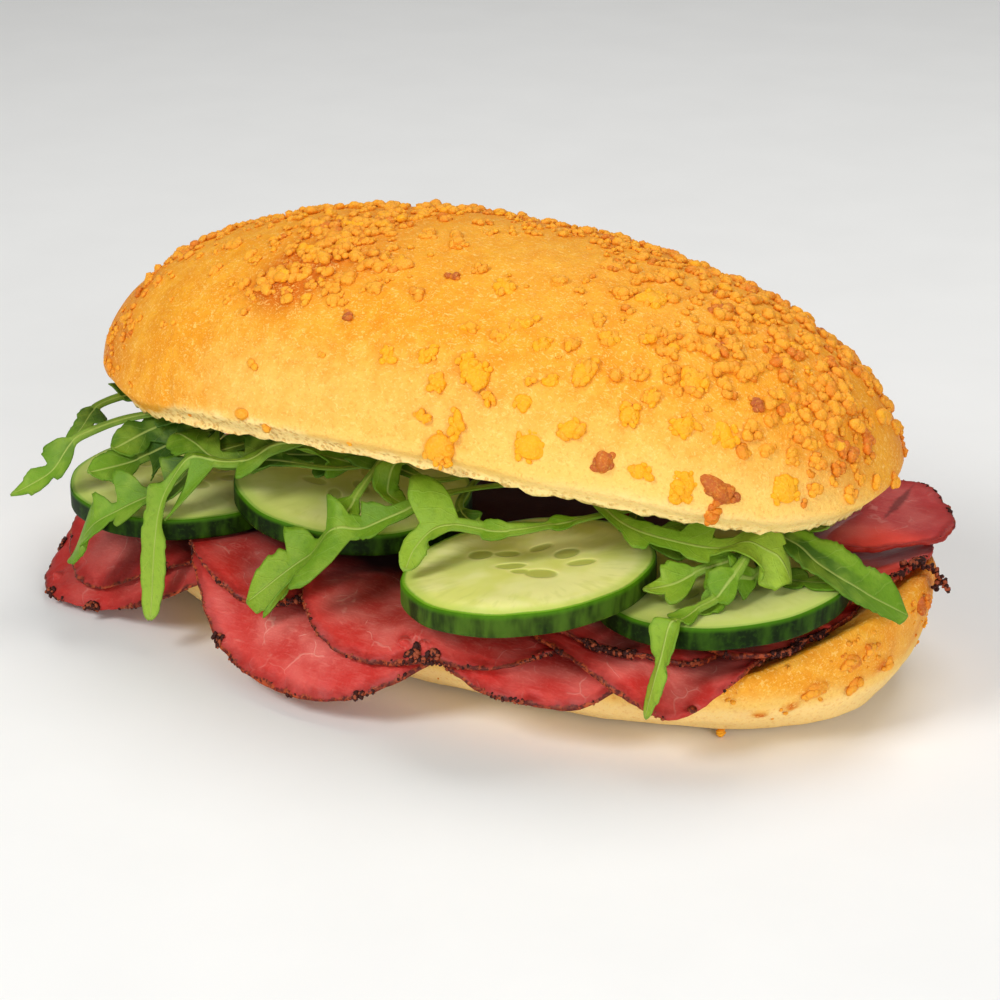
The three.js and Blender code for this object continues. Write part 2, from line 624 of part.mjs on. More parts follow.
function sliceBody(spec) {
  const { at, half, power, ripple, waves, phase } = spec;
  const face = (spec.face * Math.PI) / 180;
  const plan = [[at[0], at[1]]];
  const faces = [];
  const rings = [[], [], [], []];
  for (let i = 0; i < meat.spokes; i += 1) {
    const t = (2 * Math.PI * i) / meat.spokes;
    const angle = face + t - 0.5 * Math.sin(t);
    const c = Math.cos(angle);
    const s = Math.sin(angle);
    const along = c < 0 ? spec.left ?? half[0] : half[0];
    const reach = (Math.abs(c / along) ** power + Math.abs(s / half[1]) ** power) ** (-1 / power);
    const wavy = 1 + 0.02 * Math.sin(waves * angle + phase) + 0.012 * Math.sin(3 * angle + 2 * phase);
    const [dx, dy] = [c * reach * wavy, s * reach * wavy];
    const bend = rimShare(at, dx, dy);
    [0.5 * bend, bend, (1 + bend) / 2, 1].forEach((share, k) => {
      plan.push([at[0] + dx * share, at[1] + dy * share]);
      rings[k].push(plan.length - 1);
    });
  }
  fan({ faces }, rings[0], 0, true);
  for (let k = 0; k < rings.length - 1; k += 1) {
    for (let i = 0; i < meat.spokes; i += 1) {
      const j = (i + 1) % meat.spokes;
      const [a, b, c, d] = [rings[k][i], rings[k + 1][i], rings[k + 1][j], rings[k][j]];
      faces.push([a, b, c], [a, c, d]);
    }
  }
  const fall = spec.fall ?? meat.fall;
  const rise = spec.rise ?? meat.rise;
  const natural = plan.map(([x, y]) => {
    const reach = Math.max(1e-6, heelReach(x, y));
    const out = Math.hypot(x - heel.centre, y) * (1 - 1 / reach);
    const past = out - meat.start;
    const end = (spec.level ?? meat.level) + (spec.slope ?? 0) * (y - at[1]);
    const level = meat.level + (end - meat.level) * smooth(rise[0], rise[1], x);
    const drop = (fall * (past + Math.hypot(past, meat.softness))) / 2;
    const dx = (x - at[0]) / half[0];
    const dy = (y - at[1]) / half[1];
    const edge = Math.min(1, dx * dx + dy * dy);
    const wave = ripple * edge * edge * Math.sin(waves * Math.atan2(dy, dx) * 1.3 + phase * 3);
    const swell = (spec.hump ?? 0) * Math.exp(-(((out - 5) / 5) ** 2)) * Math.exp(-(((x + 14) / 16) ** 2));
    const lift = (spec.endLift ?? 0) * smooth(0, 9, out) * smooth(-42, -14, y);
    return Math.max(meat.floor, level - drop + wave + lift + (y < 0 ? swell : 0));
  });
  const height = settle(plan, natural, faces, meat.gap, 5);
  const edge = new Set(rings[3]);
  const thick = (i) => (edge.has(i) ? meat.edgeThickness : meat.thickness);
  return sheetBody(plan, height, faces, rings[3], thick);
}

function buildSlice(spec, number) {
  const shape = sliceBody(spec);
  const base = solidOf(shape);
  addToPile(shape.points, shape.faces);
  const clumps = pepper.filter((entry) => entry[0] === number);
  if (clumps.length === 0) {
    return base;
  }
  const up = new THREE.Vector3(0, 0, 1);
  const grains = clumps.map(([, x, y, radius], i) => {
    const at = [x, y, pileAt(x, y) + 0.25 * radius];
    return lump(at, up, radius * 1.25, radius, radius * 0.8, i, 700 + number * 10 + i);
  });
  const whole = Manifold.union([base, ...grains]);
  addSolidToPile(whole);
  return whole;
}

function buildCucumber({ at, tilt }) {
  const { radius, thickness, bevel, spokes, gap } = cucumber;
  const slope = (x, y) => (x - at[0]) * tilt[0] + (y - at[1]) * tilt[1];
  let base = -50;
  for (let j = 0; j < pile.rows; j += 1) {
    const y = pile.near + j * pile.cell;
    for (let i = 0; i < pile.columns; i += 1) {
      const x = pile.left + i * pile.cell;
      if (Math.hypot(x - at[0], y - at[1]) <= radius + 0.4) {
        base = Math.max(base, pile.height[j * pile.columns + i] - slope(x, y));
      }
    }
  }
  base += gap;
  const shape = body();
  const levels = [[radius, 0], [radius, thickness - bevel], [radius - bevel, thickness]];
  const rings = levels.map(([reach, rise]) => {
    const ring = [];
    for (let i = 0; i < spokes; i += 1) {
      const angle = (2 * Math.PI * i) / spokes;
      const x = at[0] + reach * Math.cos(angle);
      const y = at[1] + reach * Math.sin(angle);
      ring.push(shape.point(x, y, base + rise + slope(x, y)));
    }
    return ring;
  });
  fan(shape, rings[0], shape.point(at[0], at[1], base), false);
  band(shape, rings[0], rings[1]);
  band(shape, rings[1], rings[2]);
  fan(shape, rings[2], shape.point(at[0], at[1], base + thickness), true);
  addToPile(shape.points, shape.faces);
  return solidOf(shape);
}

// Shares of length at which a leaf has a row: its ends, its lobes and the notches between them
function leafRows(lobes) {
  const rows = new Set([0, 0.12, 0.24, 1]);
  const first = lobes[0][0];
  if (first > 0.45) {
    rows.add(0.36);
  }
  lobes.forEach(([share], i) => {
    const last = i === 0 ? 0.24 : lobes[i - 1][0];
    const next = i === lobes.length - 1 ? 1 : lobes[i + 1][0];
    rows.add(share);
    rows.add(share - Math.min(0.055, (share - last) * 0.45));
    rows.add(share + Math.min(0.055, (next - share) * 0.45));
  });
  rows.add(0.97);
  return [...rows].sort((a, b) => a - b).filter((s, i, all) => i === 0 || s - all[i - 1] > 0.012);
}

function leafReach(spec, share, side) {
  const { stalk, blade, lobes } = spec;
  const grow = smooth(0.25, 0.62, share);
  const end = Math.sqrt(Math.max(0, 1 - smooth(0.9, 1.0001, share)));
  let reach = stalk + (blade * 0.45 - stalk) * grow;
  reach = Math.max(reach, blade * smooth(0.84, 0.95, share));
  for (const lobe of lobes) {
    const near = Math.max(0, 1 - (Math.abs(share - lobe[0]) / 0.09) ** 2);
    reach = Math.max(reach, lobe[side] * near);
  }
  return Math.max(0.35, reach * Math.max(0.12, end));
}

function planArea(plan, face) {
  const [a, b, c] = face.map((i) => plan[i]);
  return ((b[0] - a[0]) * (c[1] - a[1]) - (c[0] - a[0]) * (b[1] - a[1])) / 2;
}

// Draws side points in towards the midrib where the outline would fold over itself; points
// come in rows of three, the midrib in the middle
function unfold(plan, faces) {
  for (let turn = 0; turn < 24; turn += 1) {
    const folded = new Set(faces.filter((face) => planArea(plan, face) < 0.05).flat());
    for (const i of folded) {
      const [x, y] = plan[i - (i % 3) + 1];
      plan[i] = [plan[i][0] + 0.08 * (x - plan[i][0]), plan[i][1] + 0.08 * (y - plan[i][1])];
    }
  }
}

function buildLeaf(spec) {
  const { line, lobes, fold } = spec;
  const curve = new THREE.CatmullRomCurve3(line.map((p) => new THREE.Vector3(...p)), false, 'centripetal');
  curve.arcLengthDivisions = 400;
  const plan = [];
  const natural = [];
  const faces = [];
  const rows = leafRows(lobes).map((share) => {
    const centre = curve.getPointAt(share);
    const way = curve.getTangentAt(Math.min(0.999, Math.max(0.001, share)));
    const flat = Math.hypot(way.x, way.y) || 1;
    const [sx, sy] = [-way.y / flat, way.x / flat];
    const left = leafReach(spec, share, 1);
    const right = leafReach(spec, share, 2);
    const forward = lobes.some((lobe) => Math.abs(lobe[0] - share) < 1e-6) ? 0.22 : 0;
    const row = [];
    for (const [reach, sign] of [[left, 1], [0, 0], [right, -1]]) {
      const ahead = forward * reach;
      const x = centre.x + sx * reach * sign + (way.x / flat) * ahead;
      const y = centre.y + sy * reach * sign + (way.y / flat) * ahead;
      plan.push([x, y]);
      const away = (sx * leaf.rear[0] + sy * leaf.rear[1]) * reach * sign;
      natural.push(centre.z + fold * reach + (spec.lean ?? leaf.lean) * away + way.z * ahead);
      row.push(plan.length - 1);
    }
    return row;
  });
  for (let k = 0; k < rows.length - 1; k += 1) {
    for (const i of [0, 1]) {
      const [a, b, c, d] = [rows[k][i], rows[k][i + 1], rows[k + 1][i + 1], rows[k + 1][i]];
      faces.push(i === 0 ? [a, b, c] : [a, b, d], i === 0 ? [a, c, d] : [b, c, d]);
    }
  }
  if (planArea(plan, faces[0]) < 0) {
    faces.forEach((face) => face.reverse());
  }
  unfold(plan, faces);
  const height = settle(plan, natural, faces, leaf.gap, 3);
  const end = rows[rows.length - 1];
  const rim = [
    ...rows.map((row) => row[2]),
    end[1],
    ...rows.slice().reverse().map((row) => row[0]),
    rows[0][1],
  ];
  const shape = sheetBody(plan, height, faces, rim, () => leaf.thickness);
  addToPile(shape.points, shape.faces);
  return solidOf(shape);
}

function buildLid() {
  const { spokes, shares } = lid;
  const plan = [];
  const natural = [];
  const faces = [];
  const turn = (i) => (2 * Math.PI * i) / spokes;
  const under = [1, 0.8, 0.45].map((grow) => {
    const ring = [];
    for (let i = 0; i < spokes; i += 1) {
      const [x, y] = lidPoint(turn(i), 0);
      const px = lid.centre + (x - lid.centre) * grow;
      const py = y * grow;
      plan.push([px, py]);
      natural.push(lidCut(px, py) - lid.sag * (1 - grow * grow));
      ring.push(plan.length - 1);
    }
    return ring;
  });
  plan.push([lid.centre, 0]);
  natural.push(lidCut(lid.centre, 0) - lid.sag);
  band({ quad: (a, b, c, d) => faces.push([a, b, c], [a, c, d]) }, under[0], under[1]);
  band({ quad: (a, b, c, d) => faces.push([a, b, c], [a, c, d]) }, under[1], under[2]);
  fan({ faces }, under[2], plan.length - 1, true);
  const height = settle(plan, natural, faces, 0.4, 3);
  const shape = body();
  plan.forEach(([x, y], i) => shape.point(x, y, height[i]));
  faces.forEach(([a, b, c]) => shape.faces.push([a, c, b]));
  let low = under[0];
  for (const share of shares.slice(1)) {
    const ring = low.map((_, i) => {
      const [x, y, z] = lidPoint(turn(i), share);
      return shape.point(x, y, Math.max(z, height[under[0][i]] + 12 * share));
    });
    band(shape, low, ring);
    low = ring;
  }
  fan(shape, low, shape.point(lid.centre, 0, lid.crown), true);
  const lumps = lidLumps.map(([x, y, z, long, wide, angle], i) => {
    const out = new THREE.Vector3((x - lid.centre) / lid.halfLength ** 2, y / lid.halfWidth ** 2, 0);
    out.z = (z - lid.cutHeight) / (lid.crown - lid.cutHeight) ** 2;
    out.normalize();
    return lump([x, y, z], out, long, wide, 1.15 + 0.2 * wide, (angle * Math.PI) / 180, 200 + i);
  });
  const crumbs = crumbPlaces(lidCrumbs.count).map(({ angle, share, seed, place }, i) => {
    const t = i / (lidCrumbs.count - 1);
    const size = lidCrumbs.large + (lidCrumbs.small - lidCrumbs.large) * t;
    const wide = size * (0.7 + 0.25 * chance(seed + 0.3));
    const normal = lidNormal(angle, share);
    const sunk = new THREE.Vector3(...place).addScaledVector(normal, 0.1 * size);
    return lump(sunk.toArray(), normal, size, wide, 0.75 * size, 6.3 * chance(seed + 0.7), seed);
  });
  return Manifold.union([solidOf(shape), ...lumps, ...crumbs]);
}

function named(name, solid, colour, roughness) {
  const { points, faces } = gatheredPoints(solid);
  const geometry = new THREE.BufferGeometry();
  geometry.setAttribute('position', new THREE.Float32BufferAttribute(points.flat(), 3));
  geometry.setIndex(faces.flat());
  const material = new THREE.MeshStandardMaterial({ color: colour, roughness, metalness: 0 });
  material.name = name;
  const mesh = new THREE.Mesh(geometry, material);
  mesh.name = name;
  return mesh;
}

function two(number) {
  return String(number).padStart(2, '0');
}

// Everything is laid from the bottom upwards, so that each piece rests clear of those below it
const sandwich = new THREE.Group();
sandwich.name = 'pastrami_sandwich';

const heelSolid = buildHeel();
addSolidToPile(heelSolid);
sandwich.add(named('bun_bottom', heelSolid, 0xf0b452, 0.7));
slices.forEach((spec, i) => {
  sandwich.add(named(`pastrami_${two(i + 1)}`, buildSlice(spec, i + 1), 0xc24f49, 0.45));
});
discs.forEach((spec, i) => {
  sandwich.add(named(`cucumber_${two(i + 1)}`, buildCucumber(spec), 0xd8d98a, 0.35));
});
leaves.forEach((spec, i) => {
  sandwich.add(named(`rocket_${two(i + 1)}`, buildLeaf(spec), 0x6f9a2c, 0.5));
});
sandwich.add(named('bun_top', buildLid(), 0xf6b144, 0.7));

export default sandwich;
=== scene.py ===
import math
from collections import namedtuple

import bmesh
import bpy
import numpy as np
from mathutils import Matrix, Vector, noise
from mathutils.bvhtree import BVHTree


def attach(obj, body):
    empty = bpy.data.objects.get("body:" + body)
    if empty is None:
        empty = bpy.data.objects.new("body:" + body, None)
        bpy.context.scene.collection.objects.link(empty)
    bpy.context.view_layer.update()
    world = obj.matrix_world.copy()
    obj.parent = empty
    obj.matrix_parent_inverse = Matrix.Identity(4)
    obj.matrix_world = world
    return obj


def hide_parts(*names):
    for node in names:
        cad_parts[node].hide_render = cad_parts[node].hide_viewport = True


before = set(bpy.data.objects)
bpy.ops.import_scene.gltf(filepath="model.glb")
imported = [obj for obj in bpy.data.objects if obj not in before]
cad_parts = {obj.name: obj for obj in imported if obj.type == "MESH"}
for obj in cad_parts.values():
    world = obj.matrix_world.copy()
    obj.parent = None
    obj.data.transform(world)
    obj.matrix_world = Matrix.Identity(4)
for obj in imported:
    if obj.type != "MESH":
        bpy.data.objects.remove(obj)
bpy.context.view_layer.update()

MM = 0.001
CIRCLE = 2 * math.pi

# Power of the roll's outline: 2 is an oval, and more is squarer
SQUARENESS = 2.2

# Sizes in millimetres: origin at the centre of the flat underside, X along the roll, -Y the open front
HEEL_CENTRE, HEEL_LONG, HEEL_WIDE, HEEL_RIM = 2.0, 86.0, 44.0, 14.5
HEEL_RINGS = [(0, 0.85, 0.68), (0.1, 0.92, 0.79), (0.34, 0.965, 0.915), (0.64, 0.99, 0.985), (0.9, 1, 1),
              (1, 0.985, 0.975)]
LID_CENTRE, LID_LONG, LID_WIDE, LID_CUT, LID_DROP, LID_CROWN = -3.5, 83.0, 43.5, 43.0, 10.0, 80.5


def smooth(low, high, value):
    t = min(1.0, max(0.0, (value - low) / (high - low)))
    return t * t * (3 - 2 * t)


def signed_power(value, power):
    return math.copysign(abs(value) ** power, value)


def soften(values, reach):
    """Mean over so many neighbours on each side, carried on straight past both ends"""
    padded, width = np.pad(values, reach, mode="reflect", reflect_type="odd"), 2 * reach + 1
    return np.convolve(padded, np.ones(width) / width, mode="valid")


def uneven(x, y, z, grain, seed=0.0):
    return noise.noise(Vector((x / grain + seed, y / grain - seed, z / grain + 2 * seed)))


# Colour and finish

def srgb(red, green, blue):
    def linear(value):
        value /= 255
        return value / 12.92 if value <= 0.04045 else ((value + 0.055) / 1.055) ** 2.4
    return (linear(red), linear(green), linear(blue), 1.0)


class Wire:
    """A socket on which arithmetic adds its nodes."""

    def __init__(self, finish, socket):
        self.finish, self.socket = finish, socket

    def _math(self, operation, *values):
        return self.finish.node("ShaderNodeMath", {"operation": operation}, dict(enumerate(values)))

    def __add__(self, other):
        return self._math("ADD", self, other)

    def __sub__(self, other):
        return self._math("SUBTRACT", self, other)

    def __rsub__(self, other):
        return self._math("SUBTRACT", other, self)

    def __mul__(self, other):
        return self._math("MULTIPLY", self, other)

    def __truediv__(self, other):
        return self._math("DIVIDE", self, other)

    def __pow__(self, other):
        return self._math("POWER", self, other)

    __radd__, __rmul__ = __add__, __mul__

    def size(self):
        return self._math("ABSOLUTE", self)

    def part(self):
        return self._math("FRACT", self)

    def most(self, other):
        return self._math("MAXIMUM", self, other)

    def ease(self, low, high):
        """0 at low, 1 at high, soft at both ends; low may be the larger"""
        if low > high:
            return 1 - self.ease(high, low)
        return self.finish.node("ShaderNodeMapRange", {"interpolation_type": "SMOOTHSTEP"},
                                {"Value": self, "From Min": low, "From Max": high})


class Finish:
    """A material built from nodes, one call a node."""

    def __init__(self, name):
        self.material = bpy.data.materials.new(name)
        self.material.use_nodes = True
        self.tree = self.material.node_tree
        self.tree.nodes.clear()

    def node(self, kind, settings=None, sockets=None, out=0):
        node = self.tree.nodes.new(kind)
        for name, value in (settings or {}).items():
            setattr(node, name, value)
        for name, value in (sockets or {}).items():
            if isinstance(value, Wire):
                self.tree.links.new(value.socket, node.inputs[name])
            else:
                node.inputs[name].default_value = value
        return Wire(self, node.outputs[out])

    def place(self):
        """Object coordinates in millimetres"""
        there = self.node("ShaderNodeTexCoord", out=3)
        return self.node("ShaderNodeMapping", {}, {"Vector": there, "Scale": (1000, 1000, 1000)})

    def read(self, name, out=2):
        return self.node("ShaderNodeAttribute", {"attribute_name": name}, out=out)

    def vector(self, x=0.0, y=0.0, z=0.0):
        return self.node("ShaderNodeCombineXYZ", {}, {0: x, 1: y, 2: z})

    def parts(self, vector):
        node = self.node("ShaderNodeSeparateXYZ", {}, {0: vector})
        return [Wire(self, socket) for socket in node.socket.node.outputs]

    def stretch(self, vector, scale, turn=(0, 0, 0)):
        return self.node("ShaderNodeMapping", {}, {"Vector": vector, "Scale": scale, "Rotation": turn})

    def grain(self, place, size, detail=2.0, rough=0.5, bend=0.0):
        return self.node("ShaderNodeTexNoise", {}, {"Vector": place, "Scale": 1 / size, "Detail": detail,
                                                    "Roughness": rough, "Distortion": bend})

    def cells(self, place, size, feature="F1", random=1.0):
        return self.node("ShaderNodeTexVoronoi", {"feature": feature},
                         {"Vector": place, "Scale": 1 / size, "Randomness": random})

    def mix(self, share, first, second, blend="MIX"):
        return self.node("ShaderNodeMix", {"data_type": "RGBA", "blend_type": blend},
                         {0: share, 6: first, 7: second}, out=2)

    def layers(self, colour, *coats):
        """Coats laid over a colour in turn, each a share with its red, green and blue"""
        for share, *tone in coats:
            colour = self.mix(share, colour, srgb(*tone))
        return colour

    def close(self, colour, rough, height=None, depth=0.3, shine=0.5, soft=None):
        """Ends the material: height is in millimetres and depth how strongly it shows; shine is the
        specular level, and soft the weight, radii and scale of the light that sinks in"""
        sockets = {"Base Color": colour, "Roughness": rough, "Specular IOR Level": shine}
        if height is not None:
            sockets["Normal"] = self.node("ShaderNodeBump", {}, {"Height": height, "Strength": depth,
                                                                 "Distance": MM})
        if soft:
            for name, value in zip(("Weight", "Radius", "Scale"), soft):
                sockets["Subsurface " + name] = value
        shader = self.node("ShaderNodeBsdfPrincipled", {}, sockets)
        end = self.tree.nodes.new("ShaderNodeOutputMaterial")
        self.tree.links.new(shader.socket, end.inputs[0])
        return self.material


def golden_crust():
    f = Finish("golden cheese crust")
    p = f.place()
    wide, patch, fine = f.grain(p, 14), f.grain(p, 4, 3, 0.6), f.grain(p, 0.7, 2, 0.6)
    fibre = f.grain(f.stretch(p, (0.6, 1, 0.8), (0.2, 0.5, 0.4)), 0.55, 2, 0.5, 1.6)
    streak = f.grain(f.stretch(p, (1, 0.6, 0.16)), 3.5, 2)
    pale, torn = f.read("pale"), f.read("inside")
    gold = f.layers(
        srgb(234, 150, 20),
        (patch.ease(0.35, 0.7), 242, 168, 38),
        (wide.ease(0.35, 0.7) * 0.35, 246, 182, 60),
        (streak.ease(0.5, 0.75) * 0.35, 226, 134, 16),
        ((pale + (patch - 0.5) * 0.6).ease(0.05, 1), 246, 198, 100),
        ((pale + (patch - 0.5) * 0.4).ease(1, 1.8) * 0.75, 255, 222, 150),
        ((f.read("scorch") + (patch - 0.5) * 0.5).ease(0.1, 1) * 0.9, 204, 96, 0),
        (fibre.ease(0.54, 0.68) * 0.6, 255, 212, 120),
        (fine.ease(0.5, 0.75) * 0.35, 218, 128, 16))
    pores = f.cells(p, 1.1).ease(0.2, 0.5)
    crumb = f.layers(srgb(222, 176, 100), (pores, 252, 224, 150), (fine.ease(0.45, 0.7) * 0.5, 240, 196, 112))
    height = fine * 0.25 + patch * 0.25 + fibre * 0.25 + pores * torn * 0.45
    return f.close(f.mix(torn, gold, crumb), 0.5 + fine * 0.15, height, 0.7, 0.2, (0.1, (1, 0.5, 0.2), 0.002))


def baked_cheese():
    f = Finish("baked cheese crumbs")
    p = f.place()
    fine, patch = f.grain(p, 0.5, 2, 0.6), f.grain(p, 1.6, 2, 0.55)
    tone = f.read("tone") + (patch - 0.5) * 0.3
    colour = f.layers(
        srgb(252, 172, 12),
        (tone.ease(0.12, 0.4), 244, 162, 36),
        (tone.ease(0.45, 0.75), 222, 122, 18),
        (tone.ease(0.75, 1.05), 180, 88, 32),
        # Painted shade: darker orange towards the base of each grain, where the grains meet
        (f.read("lift").ease(0.5, 0) * 0.6, 212, 108, 0),
        (fine.ease(0.5, 0.75) * 0.35, 255, 204, 90))
    height = fine * 0.3 + patch * 0.6
    return f.close(colour, 0.42 + fine * 0.2, height, 0.9, 0.3, (0.1, (1, 0.5, 0.15), 0.0015))


def cured_beef():
    f = Finish("cured beef slice")
    p = f.place()
    x, y, z = f.parts(p)
    wide, patch, fine = f.grain(p, 10, 2), f.grain(p, 3, 3, 0.6, 0.6), f.grain(p, 0.5, 2)
    strand = f.grain(f.stretch(p, (0.35, 1.3, 1.3), (0, 0, 0.5)), 1.1, 2, 0.55, 0.8)
    rim = f.read("rim")
    drift = f.node("ShaderNodeTexNoise", {}, {"Vector": p, "Scale": 0.18, "Detail": 1.5}, out=1)
    shift = f.node("ShaderNodeVectorMath", {"operation": "SCALE"}, {0: drift, 3: 6.0})
    bent = f.node("ShaderNodeVectorMath", {"operation": "ADD"}, {0: p, 1: shift})
    fat = f.cells(bent, 9, "DISTANCE_TO_EDGE").ease(0.022, 0.004) * f.grain(p, 5, 2).ease(0.5, 0.58)
    depth = y + (wide - 0.5) * 8
    # Painted shade: the middle of the slices, under the top half, made nearly black (and rougher)
    under_lid_shade = depth.ease(-33, -25) * depth.ease(34, 26) * x.ease(66, 56) * x.ease(-72, -60)
    lean = f.layers(
        srgb(190, 58, 50),
        (wide.ease(0.38, 0.66), 218, 106, 96),
        (patch.ease(0.45, 0.7) * 0.3, 228, 122, 106),
        (strand.ease(0.5, 0.7) * 0.28, 236, 142, 126),
        (fine.ease(0.5, 0.75) * 0.18, 236, 146, 130),
        (fat * 0.4, 240, 176, 158),
        ((rim + (wide - 0.5) * 9).ease(8, 1) * 0.62, 200, 36, 28),
        # Painted light: brighter red on the low slice at the right end, which lies in shade
        (x.ease(66, 74) * y.ease(22, 16) * 0.7, 250, 82, 62),
        # Painted shade: darker crimson on the back right slice, under the edge of the top half
        (x.ease(56, 64) * y.ease(14, 22) * 0.5, 150, 40, 46),
        # Painted shade: darker red on the left front slices, inward of their front rims, where leaves and
        # cucumber shade them
        (depth.ease(-50, -36) * x.ease(40, 10) * 0.4, 128, 26, 24),
        # Painted shade under the top half
        (under_lid_shade * 0.95, 34, 4, 2),
        ((rim + (patch - 0.5) * 2).ease(2, 0.3) * 0.7, 140, 30, 24))
    crust = f.layers(
        srgb(168, 72, 34),
        (f.grain(p, 0.8, 2, 0.7).ease(0.42, 0.58), 84, 22, 14),
        (f.grain(p, 2.6, 2).ease(0.42, 0.58) * 0.7, 84, 22, 16))
    open_fold = x.ease(62, 66) * z.ease(24.5, 26) * y.ease(2, 6) * y.ease(26, 22)
    peppered = (rim + (fine - 0.5) * 0.5 + (patch - 0.5) * 1.2).ease(0.5, 0.2)
    # Painted shade: a dark line along a fold in the top slice at the right end
    crease = ((x - 72.5).size() + (y - 29).size() * 0.16 + (patch - 0.5) * 2).ease(1.5, 0.6) * z.ease(23, 25)
    colour = f.layers(f.mix(peppered * (1 - open_fold * 0.75), lean, crust), (crease * 0.75, 96, 30, 24))
    height = patch * 0.1 + fine * 0.06 + fat * 0.06 + strand * 0.12
    return f.close(colour, 0.4 + patch * 0.16 + under_lid_shade * 0.3, height, 0.6, 0.22, (0.15, (1, 0.25, 0.2), 0.002))


def cracked_pepper():
    f = Finish("cracked pepper and spice")
    fine = f.grain(f.place(), 0.35, 2)
    colour = f.layers(
        srgb(154, 74, 46),
        (f.read("tone").ease(0.25, 0.7), 54, 22, 18),
        (fine.ease(0.5, 0.7) * 0.35, 112, 46, 26))
    return f.close(colour, 0.6, fine * 0.15, 0.6, 0.2)


def sliced_cucumber():
    f = Finish("cucumber slice")
    x, y, z = f.parts(f.read("cut", 1))
    cut = f.vector(x, y, z)
    radius = (x * x + y * y) ** 0.5
    turn = f.node("ShaderNodeMath", {"operation": "ARCTAN2"}, {0: y, 1: x})
    wide, fine = f.grain(cut, 9, 2), f.grain(cut, 0.6, 2)
    ray = f.grain(f.vector(turn * 12, radius * 0.22, 0.7), 1, 2)
    seed, deep = f.read("seed") + (wide - 0.5) * 0.4, f.read("deep")
    flesh = f.layers(
        srgb(234, 240, 134),
        (wide.ease(0.4, 0.64), 250, 252, 168),
        ((radius + wide * 4).ease(12, 7) * 0.35, 232, 230, 104),
        (ray.ease(0.45, 0.7) * radius.ease(11, 17) * 0.3, 208, 216, 112),
        (seed.ease(1.3, 0.2) * seed.ease(-0.1, 0.2) * 0.5, 252, 248, 164),
        (seed.ease(0.25, -0.35) * 0.6, 158, 168, 60),
        (seed.ease(-0.3, -1.2) * 0.4, 196, 198, 84),
        ((radius + wide * 1.6).ease(20.2, 23) * 0.6, 184, 210, 80),
        ((radius + fine * 0.3).ease(22.4, 23.1) * 0.9, 100, 160, 12),
        # Painted shade: the flesh of the shaded discs darker and more olive
        (deep, 180, 196, 104))
    round_ = turn * DISC_RADIUS
    streak = f.grain(f.vector(round_, z * 0.3, 0.2), 4, 3, 0.6)
    rind = f.layers(
        srgb(10, 28, 0),
        (streak.ease(0.42, 0.68), 44, 76, 6),
        # Painted light: lighter rind streaks on the disc that is not in shade
        ((deep * -1.8 + streak).ease(0.3, 0.6) * 0.4, 92, 124, 34),
        (z.ease(3.3, 4.4) * 0.7, 72, 126, 0),
        (f.grain(f.vector(round_, z, 0.2), 0.7, 2).ease(0.5, 0.75) * 0.3, 50, 88, 4))
    side = radius.ease(23.05, 23.35).most(z.ease(0.5, 0.1))
    height = seed.ease(0.3, -0.4) * -0.15 + wide * 0.3 + streak * side * 0.5
    return f.close(f.mix(side, flesh, rind), 0.34 + side * 0.16 + fine * 0.1, height, 0.35, 0.1,
                   (0.25, (0.8, 1, 0.4), 0.003))


def rocket_leaf():
    f = Finish("rocket leaf")
    side, along, reach = f.parts(f.read("leaf", 1))
    # Tone includes painted light at the leaf tips and painted shade under the top half
    tone, p = f.read("tone"), f.place()
    wide, patch, fine = f.grain(p, 5, 2), f.grain(p, 1.2, 3, 0.6), f.grain(p, 0.4, 2)
    across = side.size()
    vein = ((along - across * 1.4) / 4.2 + wide * 0.9).part()
    vein = (vein - 0.5).size().ease(0.05, 0) * across.ease(0.3, 0.8)
    rib = (across + along * 0.003).ease(0.42, 0.16)
    green = f.layers(
        srgb(46, 80, 4),
        (tone.ease(0, 0.5), 102, 142, 22),
        (tone.ease(0.5, 1), 156, 184, 54),
        (wide.ease(0.42, 0.7) * 0.45, 142, 170, 54),
        (patch.ease(0.5, 0.75) * 0.25, 56, 98, 8),
        (vein * 0.14, 164, 190, 84),
        (rib * 0.55, 182, 196, 104),
        (reach.ease(1.4, 1) * 0.5, 140, 168, 62),
        ((reach - across).ease(0.5, 0.1) * 0.3, 60, 104, 4))
    height = rib * 0.25 + vein * 0.08 + patch * 0.3 + wide * 0.4
    return f.close(green, 0.48 + fine * 0.12, height, 0.6, 0.25, (0.08, (0.4, 1, 0.2), 0.001))


# Making and placing

def shape_of(node):
    """Search tree and points of a solid, in millimetres"""
    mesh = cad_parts[node].data
    points = [v.co / MM for v in mesh.vertices]
    return BVHTree.FromPolygons(points, [tuple(face.vertices) for face in mesh.polygons]), points


def mark(mesh, **layers):
    """Stores named values at the points of a mesh, for its material to read"""
    for name, values in layers.items():
        values = np.asarray(values, dtype=float)
        kind, field = ("FLOAT", "value") if values.ndim == 1 else ("FLOAT_VECTOR", "vector")
        mesh.attributes.new(name, kind, "POINT").data.foreach_set(field, values.ravel())


def new_object(name, data):
    made = bpy.data.objects.new(name, data)
    bpy.context.scene.collection.objects.link(made)
    return made


def add_piece(name, mesh, material, slot, *nodes):
    """Puts a finished mesh, made in millimetres, on the sandwich"""
    mesh.transform(Matrix.Scale(MM, 4))
    mesh.shade_smooth()
    mesh.materials.append(material)
    piece = new_object(name, mesh)
    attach(piece, "root")
    if nodes:
        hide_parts(*nodes)
    return piece


def mesh_of(bm, name):
    mesh = bpy.data.meshes.new(name)
    bm.to_mesh(mesh)
    bm.free()
    return mesh


def raise_along_normals(bm, amount):
    bm.normal_update()
    for v, rise in [(v, amount(v)) for v in bm.verts]:
        v.co += v.normal * rise


def ball(detail):
    bm = bmesh.new()
    bmesh.ops.create_icosphere(bm, subdivisions=detail, radius=1)
    bm.verts.index_update()
    points = np.array([v.co[:] for v in bm.verts])
    faces = np.array([[v.index for v in face.verts] for face in bm.faces])
    bm.free()
    return points, faces


